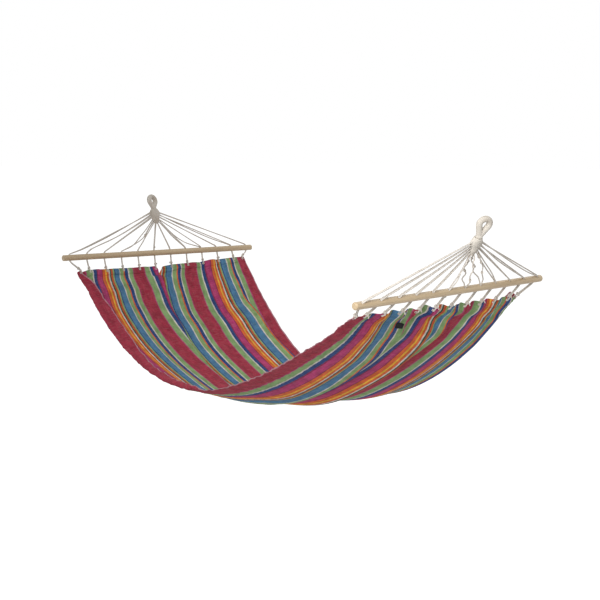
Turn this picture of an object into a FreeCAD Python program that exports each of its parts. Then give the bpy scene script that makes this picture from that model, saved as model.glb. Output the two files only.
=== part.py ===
import FreeCAD, Part
import math
import os
from dataclasses import dataclass

# Spreader-bar hammock: a striped cotton bed between two wooden bars, each hung by
# twelve doubled cords from a woven collar that ends in a hook eye. Millimetres, +Z up,
# +X from the head eye to the foot eye, -Y is the near side. The origin is the point
# where a hook bears in the head eye.

V = FreeCAD.Vector
X_AXIS = V(1, 0, 0)
Y_AXIS = V(0, 1, 0)
Z_AXIS = V(0, 0, 1)

# ---- driving sizes ----------------------------------------------------------------
BAR_LENGTH = 1000.0
BAR_D = 26.0
BAR_EDGE_R = 5.0           # rounding of the bar's ends
BAR_SPAN = 1767.0          # between the middles of the two bars
HOLE_COUNT = 12
HOLE_INSET = 29.0          # from the bar's end to the middle of the outer hole
HOLE_EDGE = 1.0            # countersink that eases each hole's rim
HOLE_CLEARANCE = 0.7       # round the two legs of a cord

NECK_HEIGHT = 200.0        # from the middle of the bars up to the swing axis
EYE_ROPE_D = 22.0
EYE_BEND_R = 19.0          # middle line of the rope at the top of the eye
NECK_BALL_D = 25.0
NECK_GAP = 0.4             # between the ball and its cup in the collar

COLLAR_TOP = 7.0           # below the neck's middle
COLLAR_LENGTH = 66.0
COLLAR_TOP_SIZE = (30.0, 26.0)
COLLAR_SHOULDER_SIZE = (52.0, 27.0)
COLLAR_WAIST_SIZE = (36.0, 24.0)
COLLAR_TIP_SIZE = (17.0, 15.0)
COLLAR_SHOULDER_AT = 0.28  # shares of the collar's length
COLLAR_WAIST_AT = 0.66

CORD_D = 4.0
CORD_GAP = 0.6             # between the two legs of a cord in its bar hole
HOLE_D = 2 * CORD_D + CORD_GAP + 2 * HOLE_CLEARANCE
CORD_SOCKET_CLEARANCE = 0.1
CORD_SOCKET_REACH = 40.0
CORD_BAR_BEND_R = 6.0      # where a leg turns over the rim of its hole
CORD_MOUTH_REACH = 2.0     # how far outside the bar a leg starts to turn
CORD_KNOT_BEND_R = 10.0
CORD_EYELET_BEND_R = 4.0
CORD_LIMP_BEND_R = 1000.0  # no limit but the length of the runs
LEG_SPREAD = 5.0           # between the two legs, along the collar
FIRST_EXIT = (18.0, 21.0)  # outer cord: to the side of the neck, and below it
LAST_EXIT = (4.0, 69.0)    # the middle pair

KNOT_CORD_D = 3.4          # the knot's own turn of cord
KNOT_FROM_HEM = 9.0        # from the hem's edge back to the middle of the knot
KNOT_CLEARANCE = 0.4

CLOTH_THICKNESS = 3.0
HEM_WIDTH = 36.0
HEM_GAP = 0.5              # between the bed and each hem band
EYELET_CLEARANCE = 2.5     # round one leg of a cord
EYELET_D = CORD_D + 2 * EYELET_CLEARANCE
EYELET_INSET = 12.0        # from the hem's edge to the middle of the eyelet
EYELET_SIDE_MARGIN = 11.0  # from the cloth's side to the middle of the outer eyelet
CORD_STAND_OFF = 0.9       # between a cord's leg and the face of the hem
CLOTH_HALF_WIDTH = 441.0   # at the hems
CLOTH_WAIST = 22.0         # narrower each side at the middle
NEAR_SAG = 380.0
NEAR_SAG_LEAN = 0.72       # how far the near edge's low point moves to the head
FAR_SAG = 505.0
FAR_SAG_LEAN = 0.0
CUP = 30.0                 # how far the middle hangs below the two edges
CUP_LEAN = 2.2
BED_STATIONS = 13
HEM_STATIONS = 3

LABEL_SIZE = (34.0, 16.0, 1.0)   # along the hem, down the cloth, thick
LABEL_STAND_OFF = 0.8
LABEL_PLACE = -0.36        # across the cloth, from -1 at the near edge to 1 at the far edge
LABEL_FROM_EDGE = 86.0     # from the foot hem's edge to the middle of the tag


@dataclass(frozen=True)
class End:
    """What differs between the head end and the foot end."""

    name: str
    side: int              # -1 head, +1 foot
    turn: float            # of the bar about Z, degrees
    tilt: float            # far end of the bar up, degrees
    roll: float            # of the holes, upper mouths outwards, degrees
    rise: float            # of the bar's middle
    neck_out: float        # the neck lies this far outside the bar
    eye_reach: float       # from the neck to the middle of the eye's bend
    eye_turn: float        # of the eye about its own axis, degrees
    near_in: float         # the hem's near corner lies this far inside the bar
    near_drop: float       # and this far below it
    far_in: float
    far_drop: float
    cup: float             # of the cloth at the hem


HEAD = End("head", -1, -2.5, -0.16, 12.0, 0.0, 68.0, 34.0, 13.0, 28.0, 52.0, 20.0, 38.0, 20.0)
FOOT = End("foot", 1, 2.7, 0.74, 38.0, 5.0, 98.0, 46.0, -18.0, 60.0, 46.0, 58.0, 66.0, 8.0)

# Legs with slack in them, first and second leg of a cord: points between the collar and
# the bar, each as a share of the way down, then how far it stands to the far side,
# outwards and below the straight line.
SLACK = {
    ("head", 1): (
        ((0.80, 0.0, 0.0, 8.0),),
        ((0.45, 0.0, 4.0, 15.0), (0.82, 0.0, 0.0, 11.0)),
    ),
    ("head", 2): (
        ((0.42, 0.0, 0.0, 12.0), (0.90, 0.0, 0.0, -7.0)),
        ((0.46, 0.0, 5.0, 17.0), (0.92, 0.0, 0.0, -7.0)),
    ),
    ("head", 4): (
        ((0.36, 27.0, 0.0, 0.0), (0.62, 52.0, 0.0, 0.0), (0.84, 44.0, 4.0, -4.0)),
        ((0.33, 24.0, 7.0, 3.0), (0.58, 36.0, 10.0, 0.0), (0.76, 30.0, 9.0, 14.0)),
    ),
    ("head", 5): (
        (),
        ((0.36, -6.0, 4.0, 2.0), (0.66, 9.0, 3.0, 0.0)),
    ),
    ("head", 8): (
        (),
        ((0.30, 5.0, 3.0, 4.0), (0.55, -4.0, 4.0, 2.0)),
    ),
    ("head", 9): (
        (),
        ((0.30, 0.0, 3.0, 27.0), (0.62, 0.0, 5.0, 30.0), (0.86, 0.0, 2.0, 12.0)),
    ),
    ("head", 11): (
        (),
        ((0.35, 0.0, 3.0, 7.0), (0.72, 0.0, 2.0, 9.0)),
    ),
    ("foot", 6): (
        ((0.48, 8.0, 2.0, 0.0),),
        ((0.40, -7.0, 3.0, 4.0), (0.74, 5.0, 4.0, 3.0)),
    ),
    ("foot", 7): (
        (
            (0.14, -5.0, -6.0, 0.0),
            (0.30, 9.0, -14.0, 0.0),
            (0.44, -16.0, -12.0, 0.0),
            (0.60, 5.0, -7.0, 0.0),
            (0.76, -14.0, -12.0, 0.0),
            (0.90, -6.0, -2.0, 0.0),
        ),
        (
            (0.12, 5.0, 10.0, 0.0),
            (0.30, -12.0, 16.0, 0.0),
            (0.46, 10.0, 12.0, 0.0),
            (0.66, -5.0, 10.0, 0.0),
            (0.84, 6.0, 10.0, 0.0),
        ),
    ),
    ("foot", 8): (
        (
            (0.14, 6.0, -10.0, 0.0),
            (0.28, -10.0, -13.0, 0.0),
            (0.44, 9.0, -12.0, 0.0),
            (0.60, -12.0, -15.0, 0.0),
            (0.78, 6.0, -8.0, 0.0),
        ),
        (
            (0.12, 12.0, 9.0, 0.0),
            (0.28, -2.0, 18.0, 0.0),
            (0.44, 16.0, 12.0, 0.0),
            (0.62, 0.0, 13.0, 0.0),
            (0.82, 10.0, 6.0, 0.0),
        ),
    ),
    ("foot", 9): (
        ((0.36, -9.0, 2.0, 2.0),),
        ((0.32, -6.0, 6.0, 0.0), (0.68, 5.0, 3.0, 0.0)),
    ),
    ("foot", 11): (
        (),
        ((0.26, 0.0, 3.0, 13.0), (0.62, 0.0, 2.0, 9.0)),
    ),
    ("foot", 12): (
        (),
        ((0.36, 0.0, 4.0, 10.0), (0.78, 0.0, 2.0, 11.0)),
    ),
}


# ---- frames -----------------------------------------------------------------------
def bar_middle(end):
    return V(end.side * BAR_SPAN / 2, 0, end.rise)


def raw_neck(end):
    return V(end.side * (BAR_SPAN / 2 + end.neck_out), 0, NECK_HEIGHT)


def fan_up(end):
    """Unit vector from the middle of the bar up to the neck."""
    return (raw_neck(end) - bar_middle(end)).normalize()


def hook_point(end):
    """Point where a hook bears at the top of the eye's opening."""
    reach = end.eye_reach + EYE_BEND_R - EYE_ROPE_D / 2
    return raw_neck(end) + fan_up(end) * reach


ORIGIN = hook_point(HEAD)


def bar_frame(end):
    """Placement at the bar's middle: X points inwards, Y along the bar and Z up."""
    heading = 0.0 if end.side < 0 else 180.0
    rotation = FreeCAD.Rotation(Z_AXIS, heading + end.turn)
    rotation = rotation.multiply(FreeCAD.Rotation(X_AXIS, -end.side * end.tilt))
    return FreeCAD.Placement(bar_middle(end) - ORIGIN, rotation)


def fan_frame(end):
    """Placement at the neck: Z points up the fan's middle line and Y across the fan."""
    rotation = FreeCAD.Rotation(X_AXIS, Y_AXIS, fan_up(end), "ZYX")
    return FreeCAD.Placement(raw_neck(end) - ORIGIN, rotation)


def bar_point(end, beside, across, along_hole):
    """Point near a hole: beside its middle line, across the bed, and up along it."""
    roll = math.radians(end.roll)
    inwards = beside * math.cos(roll) - along_hole * math.sin(roll)
    up = beside * math.sin(roll) + along_hole * math.cos(roll)
    return on_bar(end, inwards, across, up)


def hole_offset(number):
    """Place of a hole along the bar, counted from the near end."""
    pitch = (BAR_LENGTH - 2 * HOLE_INSET) / (HOLE_COUNT - 1)
    return -BAR_LENGTH / 2 + HOLE_INSET + (number - 1) * pitch


def on_bar(end, inwards, across, up):
    """Point given from the bar's middle, with across counted from near to far."""
    return bar_frame(end).multVec(V(inwards, -end.side * across, up))


# ---- the cloth's surface ----------------------------------------------------------
def mix(a, b, share):
    return a * (1 - share) + b * share


def hang(share, sag, lean):
    """Depth of a hanging edge at a share of the way from head to foot."""
    return sag * 4 * share * (1 - share) * (1 + lean * (0.5 - share))


def edge_point(share, across):
    """Point on the near (-1) or far (+1) edge of the cloth's middle surface."""
    near = across < 0
    corners = []
    for end in (HEAD, FOOT):
        inwards = end.near_in if near else end.far_in
        drop = end.near_drop if near else end.far_drop
        corners.append(on_bar(end, inwards, across * CLOTH_HALF_WIDTH, -drop))
    point = mix(corners[0], corners[1], share)
    sag, lean = (NEAR_SAG, NEAR_SAG_LEAN) if near else (FAR_SAG, FAR_SAG_LEAN)
    waist = -across * CLOTH_WAIST * 4 * share * (1 - share)
    return point + V(0, waist, -hang(share, sag, lean))


def middle_line(share):
    return mix(edge_point(share, -1), edge_point(share, 1), 0.5)


def cloth_normal(share):
    """Unit vector out of the upper face, square to the line from edge to edge."""
    step = 0.001
    along = middle_line(share + step) - middle_line(share - step)
    across = edge_point(share, 1) - edge_point(share, -1)
    return along.cross(across).normalize()


def cup_depth(share):
    return mix(HEAD.cup, FOOT.cup, share) + hang(share, CUP, CUP_LEAN)


def cloth_point(share, across, lift=0.0):
    """Point of the cloth, lifted off its middle surface along the normal."""
    chord = mix(edge_point(share, -1), edge_point(share, 1), (across + 1) / 2)
    return chord + cloth_normal(share) * (lift - cup_depth(share) * (1 - across**2))


def share_at(distance, end):
    """Share of the way at a distance along the cloth from an end's edge."""
    steps = 2000
    travelled = 0.0
    last = middle_line(0.0 if end.side < 0 else 1.0)
    for step in range(1, steps + 1):
        share = step / steps if end.side < 0 else 1 - step / steps
        point = middle_line(share)
        run = (point - last).Length
        if travelled + run >= distance:
            spare = (distance - travelled) / run
            return share - end.side * (spare - 1) / steps
        travelled += run
        last = point
    raise ValueError("the cloth is shorter than " + str(distance))


def cloth_section(share):
    """Closed outline across the cloth: two parallel arcs joined at the edges."""
    half = CLOTH_THICKNESS / 2
    upper = [cloth_point(share, across, half) for across in (-1, 0, 1)]
    lower = [cloth_point(share, across, -half) for across in (-1, 0, 1)]
    edges = [
        Part.Arc(upper[0], upper[1], upper[2]).toShape(),
        Part.LineSegment(upper[2], lower[2]).toShape(),
        Part.Arc(lower[2], lower[1], lower[0]).toShape(),
        Part.LineSegment(lower[0], upper[0]).toShape(),
    ]
    return Part.Wire(edges)


def cloth_strip(start, stop, stations):
    """Solid strip of cloth between two shares of the way."""
    shares = [start + (stop - start) * i / (stations - 1) for i in range(stations)]
    return Part.makeLoft([cloth_section(share) for share in shares], True, False)


# ---- wood and rope ----------------------------------------------------------------
def make_bar(end):
    bar = Part.makeCylinder(BAR_D / 2, BAR_LENGTH, V(0, -BAR_LENGTH / 2, 0), Y_AXIS)
    rims = [edge for edge in bar.Edges if isinstance(edge.Curve, Part.Circle)]
    bar = bar.makeFillet(BAR_EDGE_R, rims)
    drills = []
    for number in range(1, HOLE_COUNT + 1):
        base = V(0, hole_offset(number), -BAR_D)
        drills.append(Part.makeCylinder(HOLE_D / 2, 2 * BAR_D, base, Z_AXIS))
        for side in (-1, 1):
            rim = V(0, hole_offset(number), side * (BAR_D / 2 + HOLE_EDGE / 2))
            inner = V(0, 0, -side)
            reach = 2 * HOLE_EDGE
            cone = Part.makeCone(HOLE_D / 2 + reach, HOLE_D / 2, reach, rim, inner)
            drills.append(cone)
    bar = bar.cut(Part.makeCompound(drills))
    roll = FreeCAD.Placement(V(0, 0, 0), FreeCAD.Rotation(Y_AXIS, -end.roll))
    bar.Placement = bar_frame(end).multiply(roll)
    return bar


def make_eye(end):
    """Served rope loop: two legs that rise from the neck into a bend."""
    opening = math.asin(EYE_BEND_R / end.eye_reach)
    leg_length = end.eye_reach * math.cos(opening)
    radius = EYE_ROPE_D / 2
    pieces = []
    tangents = []
    for side in (-1, 1):
        direction = V(0, side * math.sin(opening), math.cos(opening))
        tangents.append(direction * leg_length)
        pieces.append(Part.makeCylinder(radius, leg_length, V(0, 0, 0), direction))
    top = V(0, 0, end.eye_reach + EYE_BEND_R)
    bend = Part.Wire(Part.Arc(tangents[0], top, tangents[1]).toShape())
    pieces.append(tube_along(bend, tangents[0], tangents[0], radius))
    pieces.append(Part.makeSphere(NECK_BALL_D / 2))
    eye = pieces[0].fuse(pieces[1:]).removeSplitter()
    turn = FreeCAD.Placement(V(0, 0, 0), FreeCAD.Rotation(Z_AXIS, end.eye_turn))
    eye.Placement = fan_frame(end).multiply(turn)
    return eye


def ellipse_wire(size, depth):
    """Ellipse across the fan at a depth below the neck, wide along Y."""
    wide, thick = size
    centre = V(0, 0, -depth)
    curve = Part.Ellipse(V(0, wide / 2, -depth), V(thick / 2, 0, -depth), centre)
    return Part.Wire(curve.toShape())


def make_collar(end, cords):
    """Woven collar with a cup for the neck and a socket for each cord's leg."""
    shoulder = COLLAR_TOP + COLLAR_SHOULDER_AT * COLLAR_LENGTH
    waist = COLLAR_TOP + COLLAR_WAIST_AT * COLLAR_LENGTH
    sections = [
        ellipse_wire(COLLAR_TOP_SIZE, COLLAR_TOP),
        ellipse_wire(COLLAR_SHOULDER_SIZE, shoulder),
        ellipse_wire(COLLAR_WAIST_SIZE, waist),
        ellipse_wire(COLLAR_TIP_SIZE, COLLAR_TOP + COLLAR_LENGTH),
    ]
    collar = Part.makeLoft(sections, True, False)
    collar = collar.cut(Part.makeSphere(NECK_BALL_D / 2 + NECK_GAP))
    collar.Placement = fan_frame(end)
    sockets = []
    socket_r = CORD_D / 2 + CORD_SOCKET_CLEARANCE
    for route in cords:
        for start, following in ((route[0], route[1]), (route[-1], route[-2])):
            direction = (following - start).normalize()
            base = start - direction * CORD_SOCKET_CLEARANCE
            sockets.append(Part.makeCylinder(socket_r, CORD_SOCKET_REACH, base, direction))
    for socket in sockets:
        collar = collar.cut(socket)
    return collar


# ---- cords ------------------------------------------------------------------------
def collar_exit(end, number, leg):
    """Where a leg of a cord starts inside the collar."""
    middle = (HOLE_COUNT + 1) / 2
    side = -1 if number < middle else 1
    outwards = (abs(number - middle) - 0.5) / (middle - 1.5)
    across = side * mix(LAST_EXIT[0], FIRST_EXIT[0], outwards)
    depth = mix(LAST_EXIT[1], FIRST_EXIT[1], outwards)
    thick = leg * (CORD_D + CORD_GAP) / 2 * -end.side
    return fan_frame(end).multVec(V(thick, across, -depth - leg * LEG_SPREAD / 2))


def slack_points(end, number, leg, start, stop):
    """Points of a slack leg, as offsets from the straight line from start to stop."""
    first, second = SLACK.get((end.name, number), ((), ()))
    points = []
    for share, farther, outwards, lower in first if leg > 0 else second:
        aside = V(end.side * outwards, farther, -lower)
        points.append(mix(start, stop, share) + aside)
    return points


def eyelet_place(number):
    """Place of an eyelet across the cloth: under its hole, but inside the cloth's side."""
    outer = CLOTH_HALF_WIDTH - EYELET_SIDE_MARGIN
    return max(-outer, min(outer, hole_offset(number))) / CLOTH_HALF_WIDTH


def leg_route(end, number, leg):
    """Points of one leg, from the collar through the bar to the eyelet."""
    beside = leg * (CORD_D + CORD_GAP) / 2
    off_cloth = leg * (CLOTH_THICKNESS / 2 + CORD_STAND_OFF + CORD_D / 2)
    mouth = BAR_D / 2 + CORD_MOUTH_REACH
    across = hole_offset(number)
    start = collar_exit(end, number, leg)
    above = bar_point(end, beside, across, mouth)
    below = bar_point(end, beside, across, -mouth)
    place = eyelet_place(number)
    hem = 0.0 if end.side < 0 else 1.0
    normal = cloth_normal(hem)
    edge = cloth_point(hem, place)
    knot = knot_middle(end, number)
    eyelet = cloth_point(share_at(EYELET_INSET, end), place, off_cloth)
    route = [start] + slack_points(end, number, leg, start, above)
    route += [above, below, knot + normal * beside, edge + normal * off_cloth, eyelet]
    return route


def knot_middle(end, number):
    """Middle of a knot, on the line from the hem's edge to the bar, clear of the edge."""
    hem = 0.0 if end.side < 0 else 1.0
    edge = cloth_point(hem, eyelet_place(number))
    mouth = bar_point(end, 0, hole_offset(number), -BAR_D / 2 - CORD_MOUTH_REACH)
    direction = (mouth - edge).normalize()
    along_hem = (edge_point(hem, 1) - edge_point(hem, -1)).normalize()
    away = (direction - along_hem * direction.dot(along_hem)).Length
    return edge + direction * (KNOT_FROM_HEM / away)


def leg_radii(leg):
    """Largest radius at each point of a leg after its first."""
    through_bar = [CORD_BAR_BEND_R, CORD_BAR_BEND_R]
    to_eyelet = [CORD_KNOT_BEND_R, CORD_KNOT_BEND_R, CORD_EYELET_BEND_R]
    fixed = through_bar + to_eyelet
    return [CORD_LIMP_BEND_R] * (len(leg) - 1 - len(fixed)) + fixed


def cord_route(end, number):
    """Points of a whole cord, down one leg and back up the other, and its largest radii."""
    first = leg_route(end, number, 1)
    second = leg_route(end, number, -1)
    return first + second[::-1], leg_radii(first) + leg_radii(second)[::-1]


def bend_radius(before, corner, after, largest):
    """Radius of the arc at a corner, held to 0.45 of its shorter run."""
    run_in = corner - before
    run_out = after - corner
    turn = run_in.getAngle(run_out)
    room = 0.45 * min(run_in.Length, run_out.Length) / math.tan(turn / 2)
    return min(room, largest), turn


def cord_path(route, radii):
    """Wire of straight runs joined by tangent arcs."""
    edges = []
    last = route[0]
    for before, corner, after, radius in zip(route, route[1:], route[2:], radii):
        radius, turn = bend_radius(before, corner, after, radius)
        cut_back = radius * math.tan(turn / 2)
        to_before = (before - corner).normalize()
        to_after = (after - corner).normalize()
        arc_start = corner + to_before * cut_back
        arc_stop = corner + to_after * cut_back
        inwards = (to_before + to_after).normalize()
        crown = corner + inwards * (radius / math.cos(turn / 2) - radius)
        edges.append(Part.LineSegment(last, arc_start).toShape())
        edges.append(Part.Arc(arc_start, crown, arc_stop).toShape())
        last = arc_stop
    edges.append(Part.LineSegment(last, route[-1]).toShape())
    return Part.Wire(edges)


def tube_along(path, start, direction, radius):
    ring = Part.Circle(start, direction, radius).toShape()
    return path.makePipe(Part.Face(Part.Wire(ring)))


def make_cord(end, number):
    """Cotton cord, doubled through its hole and round the hem through the eyelet."""
    route, radii = cord_route(end, number)
    path = cord_path(route, radii)
    cord = tube_along(path, route[0], route[1] - route[0], CORD_D / 2)
    expected = path.Length * math.pi * CORD_D**2 / 4
    report_cord(end, number, route, radii, path.Length, cord.Volume / expected)
    return cord


def report_cord(end, number, route, radii, length, volume_share):
    used = []
    for before, corner, after, radius in zip(route, route[1:], route[2:], radii):
        used.append(round(bend_radius(before, corner, after, radius)[0], 1))
    text = f"{end.name}_cord_{number:02d} length {length:.0f} volume x{volume_share:.4f}"
    print(text, "radii", used)


def make_knots(end):
    """One turn of knotted cord round both legs of each cord, just above the hem."""
    inner = CORD_D + CORD_GAP / 2 + KNOT_CLEARANCE
    knots = []
    for number in range(1, HOLE_COUNT + 1):
        middle = knot_middle(end, number)
        mouth = bar_point(end, 0, hole_offset(number), -BAR_D / 2 - CORD_MOUTH_REACH)
        ring_r = inner + KNOT_CORD_D / 2
        knots.append(Part.makeTorus(ring_r, KNOT_CORD_D / 2, middle, mouth - middle))
    return Part.makeCompound(knots)


# ---- cloth pieces -----------------------------------------------------------------
def make_hem(end):
    """Folded hem band with an eyelet for each cord."""
    outer = 0.0 if end.side < 0 else 1.0
    hem = cloth_strip(outer, share_at(HEM_WIDTH, end), HEM_STATIONS)
    eyelet_share = share_at(EYELET_INSET, end)
    normal = cloth_normal(eyelet_share)
    depth = 3 * CLOTH_THICKNESS
    for number in range(1, HOLE_COUNT + 1):
        base = cloth_point(eyelet_share, eyelet_place(number), -depth)
        hem = hem.cut(Part.makeCylinder(EYELET_D / 2, 2 * depth, base, normal))
    return hem


def make_bed():
    start = share_at(HEM_WIDTH + HEM_GAP, HEAD)
    stop = share_at(HEM_WIDTH + HEM_GAP, FOOT)
    return cloth_strip(start, stop, BED_STATIONS)


def make_label():
    """Plain tag sewn below the foot hem on the under face."""
    wide, long, thick = LABEL_SIZE
    share = share_at(LABEL_FROM_EDGE, FOOT)
    lift = -CLOTH_THICKNESS / 2 - LABEL_STAND_OFF - thick
    corner = cloth_point(share, LABEL_PLACE, lift)
    normal = cloth_normal(share)
    step = LABEL_SIZE[0] / CLOTH_HALF_WIDTH / 2
    across = cloth_point(share, LABEL_PLACE + step) - cloth_point(share, LABEL_PLACE - step)
    rotation = FreeCAD.Rotation(across.cross(normal), across, normal, "ZYX")
    label = Part.makeBox(long, wide, thick, V(-long / 2, -wide / 2, 0))
    label.Placement = FreeCAD.Placement(corner, rotation)
    return label


# ---- build ------------------------------------------------------------------------
def build():
    parts = {}
    for end in (HEAD, FOOT):
        numbers = range(1, HOLE_COUNT + 1)
        routes = [cord_route(end, number)[0] for number in numbers]
        parts[end.name + "_eye"] = make_eye(end)
        parts[end.name + "_collar"] = make_collar(end, routes)
        parts[end.name + "_bar"] = make_bar(end)
        parts[end.name + "_hem"] = make_hem(end)
        parts[end.name + "_knots"] = make_knots(end)
        for number in numbers:
            parts[f"{end.name}_cord_{number:02d}"] = make_cord(end, number)
    parts["bed_cloth"] = make_bed()
    parts["label_tag"] = make_label()
    os.makedirs("parts", exist_ok=True)
    for name, shape in parts.items():
        shape.exportStep("parts/" + name + ".step")
    print("swing axis through", raw_neck(HEAD) - ORIGIN, raw_neck(FOOT) - ORIGIN)
    print("foot hook point", hook_point(FOOT) - ORIGIN)


build()
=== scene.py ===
"""Spreader-bar hammock: the looks of the part, in metres and in the part's own frame."""

import logging
import math
from collections.abc import Callable
from dataclasses import dataclass
from enum import Enum

import bmesh
import bpy
from mathutils import Matrix, Vector, noise
from mathutils.kdtree import KDTree


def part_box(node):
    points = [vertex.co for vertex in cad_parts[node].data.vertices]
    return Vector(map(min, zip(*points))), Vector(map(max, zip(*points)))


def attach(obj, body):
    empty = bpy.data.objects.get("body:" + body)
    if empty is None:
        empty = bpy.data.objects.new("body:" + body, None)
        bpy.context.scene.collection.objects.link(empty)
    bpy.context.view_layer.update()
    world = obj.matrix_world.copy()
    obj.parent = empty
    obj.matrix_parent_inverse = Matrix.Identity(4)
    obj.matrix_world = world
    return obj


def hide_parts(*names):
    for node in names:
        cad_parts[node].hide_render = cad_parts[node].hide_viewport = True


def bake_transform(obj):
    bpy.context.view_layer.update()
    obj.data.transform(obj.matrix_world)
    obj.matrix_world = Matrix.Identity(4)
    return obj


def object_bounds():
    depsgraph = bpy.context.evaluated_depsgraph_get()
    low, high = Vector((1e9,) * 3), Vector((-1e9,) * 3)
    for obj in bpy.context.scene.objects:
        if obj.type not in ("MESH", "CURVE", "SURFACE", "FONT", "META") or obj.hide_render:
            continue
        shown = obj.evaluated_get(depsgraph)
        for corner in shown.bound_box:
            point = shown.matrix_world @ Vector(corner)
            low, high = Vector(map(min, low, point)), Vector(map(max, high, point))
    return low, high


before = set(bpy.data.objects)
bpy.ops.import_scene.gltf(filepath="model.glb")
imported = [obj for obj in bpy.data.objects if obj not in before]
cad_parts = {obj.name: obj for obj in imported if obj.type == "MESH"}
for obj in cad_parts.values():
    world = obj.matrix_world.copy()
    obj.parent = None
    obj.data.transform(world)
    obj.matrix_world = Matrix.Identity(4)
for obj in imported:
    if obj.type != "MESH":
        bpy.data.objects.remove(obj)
cad_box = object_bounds()
log = logging.getLogger("hammock")

MM = 0.001
HOLE_COUNT = 12


class Body(Enum):
    """Bodies of the construction that pieces ride on."""

    HANGERS = "hangers"
    BED = "bed"
    FOOT = "foot_end"


class Slot(Enum):
    """Material slots of the record."""

    CLOTH = "striped_cotton"
    CORD = "cord_cotton"
    COLLAR = "collar_cotton"
    WOOD = "bar_wood"
    LABEL = "label_black"


# ---- finishes -------------------------------------------------------------------------
def linear(hex_colour: str) -> tuple[float, float, float, float]:
    """Turn an sRGB hex colour into a linear one.

    Args:
        hex_colour: Six hex digits, with or without a leading hash.

    Returns:
        Linear red, green and blue, and an alpha of 1.
    """
    digits = hex_colour.lstrip("#")
    parts = [int(digits[i : i + 2], 16) / 255 for i in (0, 2, 4)]
    red, green, blue = [c / 12.92 if c <= 0.04045 else ((c + 0.055) / 1.055) ** 2.4 for c in parts]
    return (red, green, blue, 1.0)


def add_node(tree: bpy.types.NodeTree, kind: str, inputs: dict | None = None, **settings) -> bpy.types.Node:
    """Add a node with its settings and links.

    Args:
        tree: Node tree that gets the node.
        kind: Type name of the node.
        inputs: Sockets by name or number, each with a value or with the output that feeds it.
        **settings: Properties of the node.

    Returns:
        The new node.
    """
    node = tree.nodes.new(kind)
    for key, value in settings.items():
        setattr(node, key, value)
    for key, value in (inputs or {}).items():
        if isinstance(value, bpy.types.NodeSocket):
            tree.links.new(value, node.inputs[key])
        else:
            node.inputs[key].default_value = value
    return node


def new_material(name: str) -> tuple[bpy.types.Material, bpy.types.NodeTree, bpy.types.Node]:
    """Start a material with one Principled shader.

    Args:
        name: Name of the material.

    Returns:
        The material, its node tree and its shader.
    """
    material = bpy.data.materials.new(name)
    material.use_nodes = True
    tree = material.node_tree
    tree.nodes.clear()
    shader = add_node(tree, "ShaderNodeBsdfPrincipled")
    add_node(tree, "ShaderNodeOutputMaterial", {"Surface": shader.outputs[0]})
    return material, tree, shader


def set_ramp(ramp: bpy.types.ColorRamp, stops: list[tuple[float, tuple]], sharp: bool = False) -> None:
    """Fill a colour ramp.

    Args:
        ramp: The ramp.
        stops: Place and linear colour of each stop, in order.
        sharp: Whether each colour holds up to the next stop.
    """
    ramp.interpolation = "CONSTANT" if sharp else "LINEAR"
    ramp.elements.remove(ramp.elements[1])
    ramp.elements[0].position, ramp.elements[0].color = stops[0]
    for place, colour in stops[1:]:
        ramp.elements.new(place).color = colour


@dataclass(frozen=True)
class BeechDowel:
    """Sanded pale beech dowel, thinly varnished: it shows fine long grain and short dark flecks."""

    pale: str = "#cfb997"
    brown: str = "#b9a17f"
    fleck: str = "#8c7455"
    grain_width: float = 2.6 * MM
    grain_length: float = 190 * MM
    fleck_width: float = 1.6 * MM
    fleck_length: float = 11 * MM

    def material(self, end: "End") -> bpy.types.Material:
        """Make the wood of one bar, with its grain along that bar.

        Args:
            end: End of the hammock that the bar is at.

        Returns:
            The material.
        """
        material, tree, shader = new_material(f"beech dowel varnished {end.name}")
        place = add_node(tree, "ShaderNodeTexCoord").outputs["Object"]
        heading = math.radians(end.turn)
        straight = add_node(
            tree,
            "ShaderNodeMapping",
            {"Vector": place, "Location": end.bar_middle(), "Rotation": (0.0, 0.0, heading)},
            vector_type="TEXTURE",
        ).outputs[0]
        grain_scale = (1 / self.grain_width, 1 / self.grain_length, 1 / self.grain_width)
        along = add_node(tree, "ShaderNodeMapping", {"Vector": straight, "Scale": grain_scale}).outputs[0]
        grain = add_node(
            tree, "ShaderNodeTexNoise", {"Vector": along, "Scale": 1.0, "Detail": 4.0, "Distortion": 0.4}
        )
        tone = add_node(tree, "ShaderNodeValToRGB", {"Fac": grain.outputs["Fac"]})
        set_ramp(tone.color_ramp, [(0.28, linear(self.brown)), (0.66, linear(self.pale))])
        fleck_scale = (1 / self.fleck_width, 1 / self.fleck_length, 1 / self.fleck_width)
        short = add_node(tree, "ShaderNodeMapping", {"Vector": straight, "Scale": fleck_scale}).outputs[0]
        flecks = add_node(tree, "ShaderNodeTexVoronoi", {"Vector": short, "Scale": 1.0, "Randomness": 1.0})
        mask = add_node(tree, "ShaderNodeValToRGB", {"Fac": flecks.outputs["Distance"]})
        set_ramp(mask.color_ramp, [(0.08, (0.55, 0.55, 0.55, 1)), (0.2, (0, 0, 0, 1))])
        coloured = add_node(
            tree,
            "ShaderNodeMix",
            {0: mask.outputs["Color"], 6: tone.outputs["Color"], 7: linear(self.fleck)},
            data_type="RGBA",
        )
        tree.links.new(coloured.outputs[2], shader.inputs["Base Color"])
        gloss = add_node(
            tree,
            "ShaderNodeMapRange",
            {"Value": grain.outputs["Fac"], "To Min": 0.5, "To Max": 0.36},
        )
        tree.links.new(gloss.outputs["Result"], shader.inputs["Roughness"])
        bump = add_node(
            tree, "ShaderNodeBump", {"Height": grain.outputs["Fac"], "Strength": 0.12, "Distance": 0.2 * MM}
        )
        tree.links.new(bump.outputs["Normal"], shader.inputs["Normal"])
        shader.inputs["IOR"].default_value = 1.5
        return material


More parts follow.
